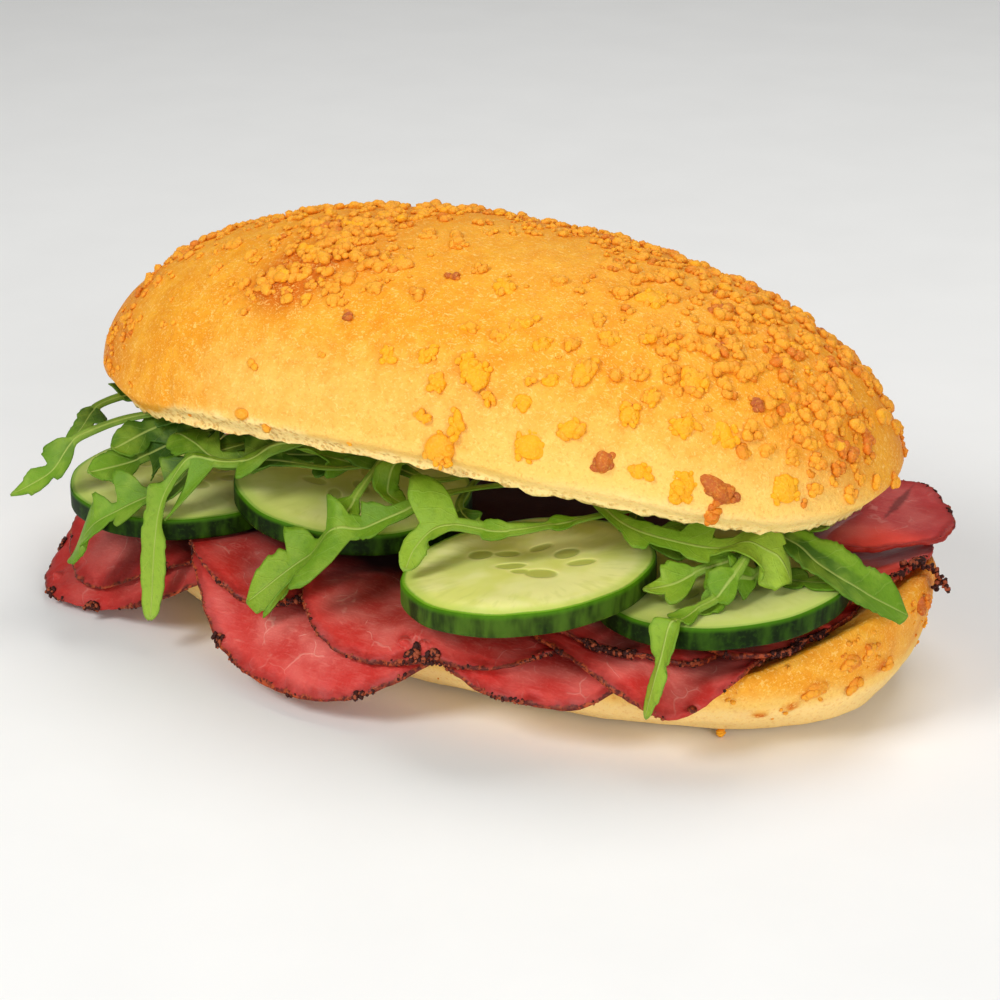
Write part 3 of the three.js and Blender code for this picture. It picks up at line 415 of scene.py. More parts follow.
def lumps_mesh(name, lumps, seed):
    """Uneven rounded lumps in one mesh. A lump: centre, outward, long, wide, high, turn, tone, detail"""
    balls = {detail: ball(detail) for detail in (1, 2, 3)}
    dice = np.random.default_rng(seed)
    points, faces, tones, lifts, count = [], [], [], [], 0
    for centre, outward, long, wide, high, turn, tone, detail in lumps:
        shape, tris = balls[detail]
        out = Vector(outward).normalized()
        across = Vector((0, 0, 1)).cross(out)
        across = across.normalized() if across.length > 0.01 else Vector((1, 0, 0))
        u = across * math.cos(turn) + out.cross(across) * math.sin(turn)
        axes = np.array([u * long, out.cross(u) * wide, out * high])
        waves = dice.uniform(-1, 1, (4, 3)) * 2.6
        waving = np.sin(shape @ waves.T + dice.uniform(0, 6, 4)).sum(axis=1)
        swell = 1 + (0.1 if detail > 1 else 0.05) * waving
        if detail == 1:
            swell += dice.uniform(-0.08, 0.08, len(shape))
        points.append(np.array(centre) + (shape * swell[:, None]) @ axes)
        faces.append(tris + count)
        count += len(shape)
        tones.append(np.full(len(shape), tone))
        # Height on each ball, from which the cheese finish paints shade towards the grain's base
        lifts.append(np.clip((shape[:, 2] + 0.3) / 1.2, 0, 1))
    mesh = bpy.data.meshes.new(name)
    mesh.from_pydata(np.concatenate(points).tolist(), [], np.concatenate(faces).tolist())
    mark(mesh, tone=np.concatenate(tones), lift=np.concatenate(lifts))
    return mesh


# Top half of the roll

def skin(mesh, wanted):
    """Places, outward directions and areas of a mesh's faces, those whose centre is wanted"""
    ordered = sorted(mesh.polygons, key=lambda face: sorted(face.vertices))
    faces = [(face.center.copy(), face.normal.copy(), face.area) for face in ordered if wanted(face.center)]
    return [face[0] for face in faces], [face[1] for face in faces], np.array([face[2] for face in faces])


# Number of crumbs of two or three grains on the top half and on the bottom half
LID_CRUMBS, HEEL_CRUMBS = 2050, 110


def scatter_crumbs(dice, surface, density, count, size_of, tone_of):
    """Granular crumbs, each of two or three grains, thick where the density is high"""
    places, outs, areas = surface
    weights = areas * np.array([max(0.0, density(*at)) for at in places])
    lumps = []
    for k in dice.choice(len(places), count, p=weights / weights.sum()):
        out = outs[k]
        u = out.cross(Vector(dice.normal(size=3).tolist())).normalized()
        v = out.cross(u)
        size, tone = size_of(dice, places[k]), tone_of(dice, places[k])
        middle = places[k] + (u * dice.uniform(-0.4, 0.4) + v * dice.uniform(-0.4, 0.4))
        for part in range(3 if size > 0.9 else 2):
            grain = size * dice.uniform(0.5, 0.8)
            at = middle + u * dice.uniform(-0.6, 0.6) * size + v * dice.uniform(-0.6, 0.6) * size \
                + out * dice.uniform(0.0, 0.35) * size
            lumps.append((at, out, grain * dice.uniform(1, 1.3), grain, grain * dice.uniform(0.65, 1),
                          dice.uniform(0, 6), tone + dice.uniform(-0.08, 0.08), 2 if grain > 0.9 else 1))
    return lumps


def lid_cut(x, y):
    """Height of the top half's lower edge, arched along the open front and low behind"""
    away = (x - 5) / (62 if x < 5 else 56)
    arched = max(-1.2 if x < 5 else -2.0, 6.4 * (1 - away * away))
    return LID_CUT + arched * smooth(22, -14, y) - LID_DROP * smooth(4, LID_WIDE, y)


def lid_point(angle, share):
    bulge = 0.975 + 0.055 * smooth(0, 0.12, share)
    reach = bulge * max(0.0, 1 - share ** SQUARENESS) ** (1 / SQUARENESS)
    x = LID_CENTRE + LID_LONG * reach * signed_power(math.cos(angle), 2 / SQUARENESS)
    y = LID_WIDE * reach * signed_power(math.sin(angle), 2 / SQUARENESS)
    rim = lid_cut(x, y)
    return Vector((x, y, rim + share * (LID_CROWN - rim)))


# Where crumbs lie thick on the top half: place, spread and density
CRUMB_BEDS = [
    (-30, -18, 77, 10, 1.6), (-29, -5, 79, 9, 1.3), (-17, -22, 77, 7, 1.0), (-36, -27, 73, 5, 0.9),
    (-22, 4, 80, 9, 0.9), (-75, -25, 50, 5, 1.2), (-74, -22, 56, 5, 1.2), (-70, -17, 63, 5.5, 1.2),
    (-69, -8, 68, 6, 1.1), (-62, 2, 73, 7, 1.0), (-46, 4, 77, 8, 0.8), (7, 10, 80, 9, 0.9),
    (25, 8, 79, 9, 0.9), (40, 4, 76, 8, 1.0), (54, 0, 72, 8, 1.0), (67, -4, 65, 8, 1.0),
    (77, -5, 56, 7, 1.0), (32, -13, 77, 7, 0.4), (51, -13, 72, 8, 0.6), (66, -16, 62, 8, 0.55),
    (76, -13, 53, 7, 0.5),
]


def crumb_density(x, y, z):
    beds = sum(density * near(x, y, z, (bx, by, bz), spread) for bx, by, bz, spread, density in CRUMB_BEDS)
    behind = 0.7 * smooth(2, 12, y) * smooth(44, 52, z)
    bald = 1 - near(x, y, z, (-11, 1, 80), 8)
    clumps = 0.35 + 0.65 * smooth(-0.15, 0.3, uneven(x, y, z, 4.5, 9))
    return (min(1.5, max(beds, behind)) + 0.012) * bald * clumps * smooth(42, 47, z)


def near(x, y, z, spot, radius):
    return math.exp(-((x - spot[0]) ** 2 + (y - spot[1]) ** 2 + (z - spot[2]) ** 2) / radius ** 2)


def make_top(material):
    tree, _ = shape_of("bun_top")
    rims = {}

    def underside(x, y):
        hit = tree.ray_cast(Vector((LID_CENTRE + (x - LID_CENTRE) * 0.96, y * 0.96, -5)), Vector((0, 0, 1)))
        return hit[0].z

    bm = bmesh.new()
    bmesh.ops.create_uvsphere(bm, u_segments=360, v_segments=200, radius=1)
    cut_face, torn, within = [], {}, {}
    for v in bm.verts:
        angle, lift = math.atan2(v.co.y, v.co.x), v.co.z
        key = round(angle, 3)
        if key not in rims:
            edge = lid_point(angle, 0)
            rims[key] = underside(edge.x, edge.y)
        if lift > -1e-5:
            share = min(1.0, max(0.0, lift))
            at = lid_point(angle, share)
            at.z = max(at.z, rims[key] + 12 * share)
            torn[v], within[v] = smooth(0.05, 0, share), 0.0
        else:
            grow = math.sqrt(1 - lift * lift)
            at = lid_point(angle, 0)
            at = Vector((LID_CENTRE + (at.x - LID_CENTRE) * grow, at.y * grow, 0))
            sample = min(1.0, 0.99 / max(0.01, grow))
            at.z = underside(LID_CENTRE + (at.x - LID_CENTRE) * sample, at.y * sample)
            torn[v], within[v] = smooth(0.95, 1, grow), smooth(0.99, 0.95, grow)
            cut_face.append(v)
        v.co = at
    bmesh.ops.smooth_vert(bm, verts=cut_face, factor=0.5, use_axis_z=True)
    below = set(cut_face)

    def relief(v):
        x, y, z = v.co
        if v in below:
            return 0.3 * uneven(x, y, z, 2.5)
        crease = 0.9 * math.exp(-((x + 51 + 0.2 * (z - 46)) / 0.8) ** 2) \
            * smooth(60, 48, z) * smooth(-10, -25, y)
        dent = 0.5 * smooth(48, 46.5, z + 0.4 * uneven(x, y, z, 6)) * smooth(-50, -46, x) * smooth(-6, -14, x)
        return 0.5 * uneven(x, y, z, 16) + 0.2 * uneven(x, y, z, 5, 2) \
            + 0.15 * min(1, crumb_density(x, y, z)) * uneven(x, y, z, 1.6, 3) - crease - dent

    raise_along_normals(bm, relief)
    for v in bm.verts:
        x, y, z = v.co
        v.co.z += torn[v] * (0.7 * uneven(x, y, 0, 3.2, 6) + 0.6 * uneven(x, y, 0, 1.2, 7) - 0.3)
    pale, scorch, inside = [], [], []
    for v in bm.verts:
        x, y, z = v.co
        front = smooth(5, -25, y)
        lower = z - lid_cut(x, y)
        # Paler crust on the front and along the low edge; the last term, on the low edge at the right, is
        # partly the crust's own pale colour and partly painted light on that shaded edge
        pale.append(0.62 * front * smooth(28, 8, lower) * smooth(-62, -30, x)
                    + 0.5 * smooth(6, 1.5, lower) * smooth(-54, -50, x) + 0.2 * smooth(6, 0, lower)
                    + 0.7 * front * smooth(14, 2, lower) * smooth(15, 50, x))
        scorch.append(0.95 * near(x, y, z, (-30, -27, 72.5), 8) + 0.45 * near(x, y, z, (-27, -10, 79), 20)
                      + 0.5 * smooth(-58, -82, x) + 0.18 * smooth(50, 82, x) + 0.45 * smooth(-4, 22, y)
                      + 0.3 * min(1, crumb_density(x, y, z)))
        ragged = lower + 1.4 * uneven(x, y, z, 3.5, 4)
        strip = 1.2 + 2.6 * smooth(-58, -50, x) * smooth(-8, -22, x) * front
        inside.append(max(within[v], 0.8 * smooth(strip + 0.7, strip - 0.7, ragged)))
    mesh = mesh_of(bm, "top_half")
    mark(mesh, pale=pale, scorch=scorch, inside=inside)
    surface = skin(mesh, lambda at: at.z > 46)
    add_piece("top_half", mesh, material, "bun", "bun_top")
    return surface


# Melted cheese lumps on the front: plan place, height, half length, half width, turn in degrees, browning
LID_LUMPS = [
    (-1.4, -38.2, 67.2, 2.2, 1.5, 100, 0.1), (6.4, -37, 68.3, 2.6, 1.4, 60, 0.1),
    (9.9, -39.7, 64.8, 2.2, 1.6, -30, 0.1), (16, -37, 67.4, 4.4, 3, -35, 0.1),
    (26.8, -38, 63.8, 2, 1.6, 0, 0.1), (35.4, -30.9, 68.8, 3.2, 2.2, 60, 0.2),
    (38.2, -9.9, 76.5, 3.6, 2.6, -20, 0.2), (12.8, -20.4, 77.4, 3, 1.9, -40, 0.15),
    (13, -43.9, 54, 3.6, 3.4, 90, 0.25), (15.6, -42.3, 59.1, 3.4, 1.4, 100, 0.1),
    (29.7, -40.9, 56.8, 3.8, 3, 10, 0.1), (42.6, -37.7, 55.7, 2.5, 2, 80, 0.95),
    (48.9, -35.8, 54.2, 2, 1.6, 0, 0.15), (55.7, -33.2, 51.8, 4.2, 2.6, 75, 0.1),
    (60.3, -25.7, 60, 2.9, 2.4, -40, 0.1), (61.4, -29.9, 51.5, 4.3, 2.4, -40, 0.95),
    (61, -31.1, 46.8, 1.8, 1.7, 0, 0.7), (63, -18.5, 63.7, 1.5, 1.3, 0, 1.0),
    (70.7, -22.3, 50.5, 3.4, 2.8, 80, 0.15), (11.6, -30.9, 72.8, 2.6, 0.9, 15, 0.2),
    (17.8, -30.9, 72.2, 1.5, 1.1, 0, 0.25), (26.3, -29.6, 71.8, 1.9, 1.5, 40, 0.2),
    (30.3, -34.5, 67.1, 1.8, 1.2, 10, 0.15), (20.5, -39.4, 63.6, 2, 0.9, -20, 0.2),
    (8.6, -42.9, 59.1, 1.6, 1.4, 0, 0.2), (36.1, -37.9, 60.3, 3, 2, 20, 0.15),
    (52.4, -22.8, 67.8, 3.8, 2.6, -60, 0.25), (47.5, -29, 65.7, 2, 1.7, 60, 0.25),
    (44.1, -27.1, 68.6, 1.7, 1.6, 0, 0.3), (45.1, -32.6, 63.1, 2.4, 2, 70, 0.2),
    (53.9, -29, 61.9, 2.9, 2.4, 0, 0.2), (67.5, -15.6, 61.7, 1.8, 1.5, 0, 0.2),
    (64.9, -14, 64.7, 1.6, 1.2, 20, 0.35), (25.5, -3.1, 79, 2.6, 2.3, 0, 0.45),
    (32.9, -11.6, 77.3, 2.4, 1.8, 20, 0.4), (20.9, -14.3, 78.3, 2, 1.6, 0, 0.4),
    (20.8, -27.1, 74.1, 2.8, 1.3, 20, 0.2), (-9.9, -19.1, 78.2, 2.6, 2.1, 30, 0.4),
    (-11.7, -7.2, 80.1, 2.2, 1.9, 0, 0.45), (-11.6, -26.6, 75.3, 2, 1.6, -40, 0.4),
    (-19.9, -27.8, 74.3, 1.9, 1.5, 0, 0.4), (-3.9, -9, 80.1, 2.1, 1.7, 0, 0.45),
    (5.5, -16.9, 78.7, 1.7, 1.4, 0, 0.45), (-2, -26.3, 75.7, 1.6, 1, -30, 0.45),
    (-52.6, -13.5, 73.6, 2.5, 1.9, 50, 0.4), (-50.8, -22.3, 71, 1.6, 1.3, 0, 0.45),
    (47.9, -4.2, 74.6, 2, 1.5, 30, 0.8), (76.2, -10.1, 55.3, 2, 1.2, 70, 0.75),
    (78.2, -3.5, 54.5, 2.2, 1.4, 60, 0.85), (66.7, -22.3, 57.4, 1.6, 1.3, 0, 0.4),
    (63.8, -25.2, 57.3, 1.4, 1.2, 0, 0.5), (70.7, -19.5, 55.2, 1.5, 1.3, 0, 0.4),
    (73.9, -16.3, 54.1, 1.4, 1.2, 0, 0.45), (74.7, -18.4, 49.9, 1.6, 1.3, 0, 0.4),
    (78.9, -12.3, 47.6, 1.5, 1.3, 0, 0.4), (31, -27.7, 72.1, 1.4, 1.1, 0, 0.3),
    (36.2, -23.6, 73, 2.2, 1.6, 40, 0.35), (32.6, -21.4, 74.8, 1.6, 1.2, 0, 0.35),
    (42.6, -18.4, 73.5, 2, 1.5, 0, 0.4), (46.4, -20.8, 71.4, 1.8, 1.4, 0, 0.35),
    (1.5, -20.3, 77.8, 1.8, 0.8, -10, 0.85), (-13, -33, 71.5, 0.8, 0.6, 0, 0.9),
    (57.3, -19.9, 66.9, 1.7, 1.3, 0, 0.35), (54.9, -11.1, 71.2, 1.8, 1.4, 0, 0.45),
    (60.2, -12.5, 68.2, 1.6, 1.2, 0, 0.5), (68, -11.2, 63.2, 1.7, 1.3, 0, 0.5),
    (72.2, -11.5, 59.3, 1.6, 1.3, 40, 0.5),
]


def grains(dice, middle, out, ahead, beside, count, tone):
    """Small lumps that run into each other over an oval; ahead and beside are its half axes"""
    lumps = []
    for _ in range(count):
        way, far = dice.uniform(0, CIRCLE), dice.random() ** 0.5
        at = middle + ahead * math.cos(way) * far + beside * math.sin(way) * far
        size = dice.uniform(0.5, 1.0) * (1.1 - 0.3 * far)
        lumps.append((at + out * dice.uniform(0, 0.6) * (1.1 - far), out, size * dice.uniform(1.0, 1.5), size,
                      size * dice.uniform(0.7, 1.1), dice.uniform(0, 6), tone + dice.uniform(-0.12, 0.16), 2))
    return lumps


def make_lid_lumps(material):
    """Melted lumps, each a low middle under grains that run into each other"""
    dice = np.random.default_rng(11)
    lumps = []
    for x, y, z, long, wide, turn, tone in LID_LUMPS:
        out = Vector(((x - LID_CENTRE) / LID_LONG ** 2, y / LID_WIDE ** 2,
                      (z - LID_CUT) / (LID_CROWN - LID_CUT) ** 2)).normalized()
        at = Vector((x, y, z))
        u = Vector((0, 0, 1)).cross(out).normalized()
        v = out.cross(u)
        angle = math.radians(turn)
        ahead, beside = u * math.cos(angle) + v * math.sin(angle), v * math.cos(angle) - u * math.sin(angle)
        high = (1.2 if tone > 0.9 else 0.5) + 0.22 * wide
        lumps.append((at, out, long * 0.75, wide * 0.75, high, angle, tone, 3))
        lumps += grains(dice, at + out * 0.1, out, ahead * long * 0.9, beside * wide * 0.9,
                        int(3 + 1.5 * long * wide), tone)
    add_piece("lid_lumps", lumps_mesh("lid_lumps", lumps, 11), material, "bun")


def make_lid_crumbs(surface, material):
    def size_of(dice, at):
        return 0.55 + 0.9 * dice.random() ** 1.3 + 0.35 * smooth(-50, -20, at.x) * smooth(0, -30, at.x) \
            + 0.25 * smooth(20, 50, at.x)

    def tone_of(dice, at):
        return 0.42 + 0.07 * smooth(25, 60, at.x) + 0.08 * smooth(-55, -72, at.x) + 0.1 * dice.normal() \
            + 0.3 * (dice.random() > 0.97)

    lumps = scatter_crumbs(np.random.default_rng(21), surface, crumb_density, LID_CRUMBS, size_of, tone_of)
    add_piece("lid_crumbs", lumps_mesh("lid_crumbs", lumps, 14), material, "bun")


# Bottom half of the roll

def heel_power(y):
    return SQUARENESS + 0.7 * smooth(-5, 15, y)


def heel_reach(x, y):
    power = heel_power(y)
    return (abs((x - HEEL_CENTRE) / HEEL_LONG) ** power + abs(y / HEEL_WIDE) ** power) ** (1 / power)


def heel_rim(x):
    return HEEL_RIM + 11 * smooth(60, 90, x)


def heel_profile():
    """Wall profile of the bottom half, rounded between its rings"""
    shares = np.linspace(0, 1, 101)
    sides = []
    for k in (1, 2):
        wall = np.interp(shares, [ring[0] for ring in HEEL_RINGS], [ring[k] for ring in HEEL_RINGS])
        sides.append(soften(wall, 6))
    return shares, sides[0], sides[1]


HEEL_WALL = heel_profile()


def heel_point(angle, share, grow=1.0):
    c, s = math.cos(angle), math.sin(angle)
    power = heel_power(s * HEEL_WIDE)
    along = float(np.interp(share, HEEL_WALL[0], HEEL_WALL[1]))
    across = float(np.interp(share, HEEL_WALL[0], HEEL_WALL[2]))
    x = HEEL_CENTRE + HEEL_LONG * along * grow * signed_power(c, 2 / power)
    y = HEEL_WIDE * across * grow * signed_power(s, 2 / power)
    return Vector((x, y, heel_rim(x) * share))


# Shares of the way from the middle underneath to the middle on top, at which the wall and the top begin
HEEL_WALL_FROM, HEEL_TOP_FROM = 0.2, 0.62

# Flattened toasted marks on the bottom half: place and spread
TOAST_MARKS = [
    (77.8, -21.6, 12.9, 3.6), (82.8, -16.4, 17.7, 3), (84.6, -13.6, 19.7, 2), (82.4, -14.4, 11.9, 2),
    (80, 16, 5, 2), (74.3, -23.4, 9.4, 2), (69.5, -26.7, 7.9, 1.6), (85.5, -9, 14, 2), (78, 22, 12, 4),
    (60, 33, 9, 4), (20, 42, 8, 5), (-30, 41, 9, 5), (-65, 32, 8, 4), (-80, 8, 8, 4),
]


def make_bottom(material):
    bm = bmesh.new()
    bmesh.ops.create_uvsphere(bm, u_segments=280, v_segments=120, radius=1)
    flat, cut, within = set(), set(), {}
    for v in bm.verts:
        angle = math.atan2(v.co.y, v.co.x)
        t = 0.5 + math.asin(max(-1.0, min(1.0, v.co.z))) / math.pi
        if t < HEEL_WALL_FROM:
            v.co = heel_point(angle, 0, t / HEEL_WALL_FROM)
            flat.add(v)
        elif t < HEEL_TOP_FROM:
            v.co = heel_point(angle, (t - HEEL_WALL_FROM) / (HEEL_TOP_FROM - HEEL_WALL_FROM))
        else:
            grow = (1 - t) / (1 - HEEL_TOP_FROM)
            at = heel_point(angle, 1, grow)
            at.z -= 0.7 * smooth(1, 0.86, grow) + 0.3 * smooth(0.86, 0.5, grow)
            v.co = at
            within[v] = smooth(0.95, 0.87, grow)
            cut.add(v)

    def toast(x, y, z):
        marks = sum(near(x, y, z, spot[:3], 0.7 * spot[3]) for spot in TOAST_MARKS)
        return min(1.0, marks * (1 + 0.8 * uneven(x, y, z, 1.6, 8)))

    def relief(v):
        x, y, z = v.co
        if v in flat:
            return 0
        if v in cut:
            return 0.3 * uneven(x, y, z, 2.5, 1)
        return smooth(0, 3, z) * (0.5 * uneven(x, y, z, 11, 1) + 0.25 * uneven(x, y, z, 4, 2) - 0.2
                                  + 0.35 * smooth(0.25, 0.5, toast(x, y, z)))

    raise_along_normals(bm, relief)
    pale, scorch, inside = [], [], []
    for v in bm.verts:
        x, y, z = v.co
        browned = toast(x, y, z)
        pale.append(1.8 * smooth(15, 6, z) * (1 - browned) + 0.15)
        scorch.append(0.8 * browned + 0.25 * smooth(0, 0.4, uneven(x, y, z, 6, 5)) * smooth(3, 9, z)
                      + 0.55 * smooth(0.7, 0.1, z)
                      + 0.55 * smooth(16, 24, z) * smooth(76, 84, x) * smooth(0, 12, y))
        inside.append(within.get(v, 0.0))
    mesh = mesh_of(bm, "bottom_half")
    mark(mesh, pale=pale, scorch=scorch, inside=inside)
    surface = skin(mesh, lambda at: 1.5 < at.z < heel_rim(at.x) - 0.8 and heel_reach(at.x, at.y) > 0.9)
    add_piece("bottom_half", mesh, material, "bun", "bun_bottom")
    return surface


# Cheese lumps on the bottom half: direction in degrees, height share, half sizes, browning
HEEL_LUMPS = [
    (-28, 0.6, 2.3, 1.9, 0.35), (-20, 0.74, 2, 1.5, 0.45), (-16, 0.8, 1.3, 1.1, 0.5),
    (-18, 0.5, 1.4, 1.3, 0.4), (-8, 0.55, 1.7, 0.9, 0.35), (3, 0.86, 2.2, 1.5, 0.75),
    (-43, 0.1, 0.8, 0.7, 0.1), (28, 0.6, 2.2, 1.8, 0.4), (70, 0.55, 2.4, 1.9, 0.4),
    (118, 0.65, 2.1, 1.6, 0.4), (160, 0.5, 2.3, 1.9, 0.4),
]


def make_heel_cheese(surface, material):
    """Toasted blisters, each with a few grains on it, and crumbs"""
    dice = np.random.default_rng(17)
    lumps = []
    for turn, share, long, wide, tone in HEEL_LUMPS:
        angle = math.radians(turn)
        at = heel_point(angle, share)
        ahead = (heel_point(angle + 0.02, share) - at).normalized()
        above = (heel_point(angle, min(1, share + 0.05)) - heel_point(angle, share - 0.05)).normalized()
        out = ahead.cross(above).normalized()
        crisp = smooth(0.65, 0.75, tone)
        lumps.append((at, out, long * 0.9, wide * 0.9, 0.8 + 0.5 * crisp, turn, tone + 0.2, 3))
        lumps += grains(dice, at + out * (0.3 + 0.6 * crisp), out, ahead * long, above * wide,
                        int(3 + 1.2 * long * wide), tone + 0.15)

    def density(x, y, z):
        ends = smooth(50, 80, x) + smooth(-50, -80, x)
        thick = 0.15 + 0.6 * ends + 0.3 * smooth(0, 20, y)
        return thick * smooth(-0.1, 0.35, uneven(x, y, z, 5, 3)) * smooth(3, 8, z)

    lumps += scatter_crumbs(np.random.default_rng(22), surface, density, HEEL_CRUMBS,
                            lambda dice, at: 0.3 + 0.55 * dice.random() ** 2,
                            lambda dice, at: 0.4 + 0.3 * dice.random())
    add_piece("bottom_cheese", lumps_mesh("bottom_cheese", lumps, 12), material, "bun")


# Sliced meat

# Outline of each slice: plan centre, half sizes, left half length, squareness, waves, phase
SLICES = [
    (-62, -2, 30, 41.6, 30, 3.4, 5, 0.6), (-63, -12, 26, 29, 26, 2.5, 7, 2.1),
    (-11, -5, 38, 51, 46, 2.25, 4, 0.3), (-29, -14, 23, 31, 23, 2.8, 8, 1.1),
    (30, -3, 24, 45, 31.5, 3.2, 6, 0.2), (5.5, -2, 34, 49.7, 34, 2.8, 7, 1.7),
    (45, -1, 27.5, 41.5, 27.5, 2.7, 6, 2.8), (42, -26, 18.5, 12, 18.5, 2.4, 7, 0.9),
    (60.3, -7, 18.5, 22, 18.5, 2.1, 6, 1.9), (64, 12, 20, 24, 20, 2.3, 7, 0.4),
    (68, 24, 17.5, 14.5, 17.5, 1.95, 5, 2.2),
]

# Clumps of pepper on the rims: number of the slice, plan place, spread
PEPPER_CLUMPS = [
    (6, 10.6, -51, 2), (6, 14.5, -50.6, 2), (8, 41, -38.4, 2), (8, 44.5, -38, 2.2), (8, 47.5, -37.6, 2),
    (9, 72.6, -25, 1.8), (9, 74.5, -22.3, 2.4), (9, 76.7, -17.4, 2), (10, 81.5, 5.4, 1.6),
    (10, 84, 11, 1.8), (1, -82.4, -41, 1.5), (1, -69.6, -43.3, 1.3), (1, -91, -26, 1.3), (4, -36, -40, 1.8),
    (4, -28.7, -41.3, 2), (4, -18.4, -43, 1.6), (2, -77, -30.6, 1.4), (2, -54, -40.3, 1.6),
    (3, -33, -51, 1.3), (3, 2, -55.5, 1.2),
]


def slice_edge(spec, x, y):
    """Distance to the outline of a slice, in millimetres, and the direction from its middle"""
    at_x, at_y, half_x, half_y, left, power, waves, phase = spec
    dx, dy = x - at_x, y - at_y
    angle = math.atan2(dy, dx)
    c, s = math.cos(angle), math.sin(angle)
    along = left if c < 0 else half_x
    reach = (abs(c / along) ** power + abs(s / half_y) ** power) ** (-1 / power)
    reach *= 1 + 0.02 * math.sin(waves * angle + phase) + 0.012 * math.sin(3 * angle + 2 * phase)
    return reach - math.hypot(dx, dy), angle


# Strip of crust that hangs off the right-hand slices
HANGING_CRUST = [
    (82, 9.2, 26.2), (83.4, 9.8, 26.4), (84.9, 10.3, 26.3), (86.3, 10.6, 26.1), (87.6, 10.4, 25.7),
    (88.8, 9.8, 25.2), (89.9, 9, 24.5), (90.6, 8.4, 23.8), (88.6, 9.4, 24.1), (88.2, 9, 23),
]


# Directions in which the rim of a slice is measured
SECTORS = 72


def make_slice(number, spec, material):
    name = "pastrami_%02d" % number
    bm = bmesh.new()
    bm.from_mesh(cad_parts[name].data)
    bmesh.ops.scale(bm, vec=(1 / MM,) * 3, verts=bm.verts)
    bmesh.ops.remove_doubles(bm, verts=bm.verts, dist=1e-4)
    bmesh.ops.join_triangles(bm, faces=bm.faces, angle_face_threshold=0.7, angle_shape_threshold=1.2)
    rough = new_object("rough", mesh_of(bm, "rough"))
    soft = rough.modifiers.new("soft", "SUBSURF")
    soft.levels = soft.render_levels = 3
    mesh = bpy.data.meshes.new_from_object(rough.evaluated_get(bpy.context.evaluated_depsgraph_get()))
    bpy.data.objects.remove(rough)
    bm = bmesh.new()
    bm.from_mesh(mesh)
    bpy.data.meshes.remove(mesh)
    spots = [(v, *slice_edge(spec, v.co.x, v.co.y)) for v in bm.verts]
    # Softening draws the rim in by an uneven amount, measured here in each direction
    short = np.full(SECTORS, 9.0)
    for _, gap, angle in spots:
        k = int((angle / CIRCLE + 0.5) * SECTORS) % SECTORS
        short[k] = min(short[k], gap)
    short = np.convolve(np.concatenate([short[-1:], short, short[:1]]), np.ones(3) / 3, mode="valid")
    rims = []
    for v, gap, angle in spots:
        x, y, z = v.co
        way = (angle / CIRCLE + 0.5) * SECTORS
        back = float(np.interp(way, np.arange(SECTORS) + 0.5, short, period=SECTORS))
        ragged = back + 0.5 * uneven(x, y, 0, 3, number) + 0.4 * uneven(x, y, 0, 1.2, number + 3)
        out = smooth(back + 6, back, gap) * ragged
        v.co.x += math.cos(angle) * out
        v.co.y += math.sin(angle) * out
        rims.append(max(0.0, gap - back))

    def relief(v):
        x, y, z = v.co
        return 0.22 * uneven(x, y, z, 8, number) + 0.08 * uneven(x, y, z, 2.2, number)

    raise_along_normals(bm, relief)
    bm.normal_update()
    edge = [(v.co.copy(), v.normal.copy(), gap) for v, gap in zip(bm.verts, rims) if gap < 3.2]
    mesh = mesh_of(bm, name)
    mark(mesh, rim=rims)
    add_piece(name.replace("pastrami", "meat_slice"), mesh, material, "pastrami", name)
    return edge


def make_pepper(edges, material):
    """Cracked pepper and spice on the open rims, thick at the clumps"""
    dice = np.random.default_rng(5)
    lumps = []

    def grain(at, out, size, dark):
        lumps.append((at, out, size * 1.4, size, size * 0.8, dice.uniform(0, 6),
                      0.7 + 0.3 * dice.random() if dice.random() < dark else 0.3 * dice.random(), 1))

    for number, edge in enumerate(edges, 1):
        rim = [spot for spot in edge if spot[2] < 0.6 and heel_reach(spot[0].x, spot[0].y) > 0.93
               and uneven(spot[0].x, spot[0].y, 0, 5, number) > 0.08]
        for _ in range(min(100, len(rim) // 3)):
            at, out, _ = rim[dice.integers(len(rim))]
            grain(at, out, 0.14 + 0.26 * dice.random() ** 2, 0.6)
    for number, x, y, spread in PEPPER_CLUMPS:
        spots = [spot for spot in edges[number - 1]
                 if math.hypot(spot[0].x - x, spot[0].y - y) < spread and spot[2] < 2 and spot[1].z > -0.4]
        for _ in range(int(60 * spread) if spots else 0):
            at, out, _ = spots[dice.integers(len(spots))]
            grain(at + out * 0.4 * dice.random(), out, 0.17 + 0.3 * dice.random() ** 1.5, 0.7)
    for at in HANGING_CRUST:
        for _ in range(14):
            spot = Vector(at) + Vector(dice.uniform(-0.55, 0.55, 3).tolist())
            grain(spot, (0, -0.5, 1), dice.uniform(0.25, 0.5), 0.5)
    add_piece("pepper_grains", lumps_mesh("pepper_grains", lumps, 13), material, "pastrami")


# Cucumber

# Plan place of the centre, rise per millimetre along X and Y, and how much shade is painted into the flesh
DISCS = [(-62, -20, 0.01, 0, 0.4), (56.5, -16, 0.1, 0.02, 0.65), (-25.5, -14, -0.09, 0.02, 0.45),
         (24.5, -32, 0.12, 0.02, 0)]
DISC_RADIUS, DISC_THICK = 23.5, 4.5


# Seeds in the face of a slice, about its centre: place, half sizes, turn in degrees
SEEDS = [
    (-11, 1.4, 2.3, 2.1, 0), (-6.3, 3.2, 2.4, 1.3, 10), (-2.6, -1.8, 2.8, 1.3, 25), (0.3, -3.4, 1.8, 1, 10),
    (4.6, -3.4, 3.3, 2, 0), (4.6, 6.3, 2.5, 2.2, 60), (-1.5, 7.5, 2.5, 1.4, 65), (9.5, 3, 2.6, 1.5, 25),
]


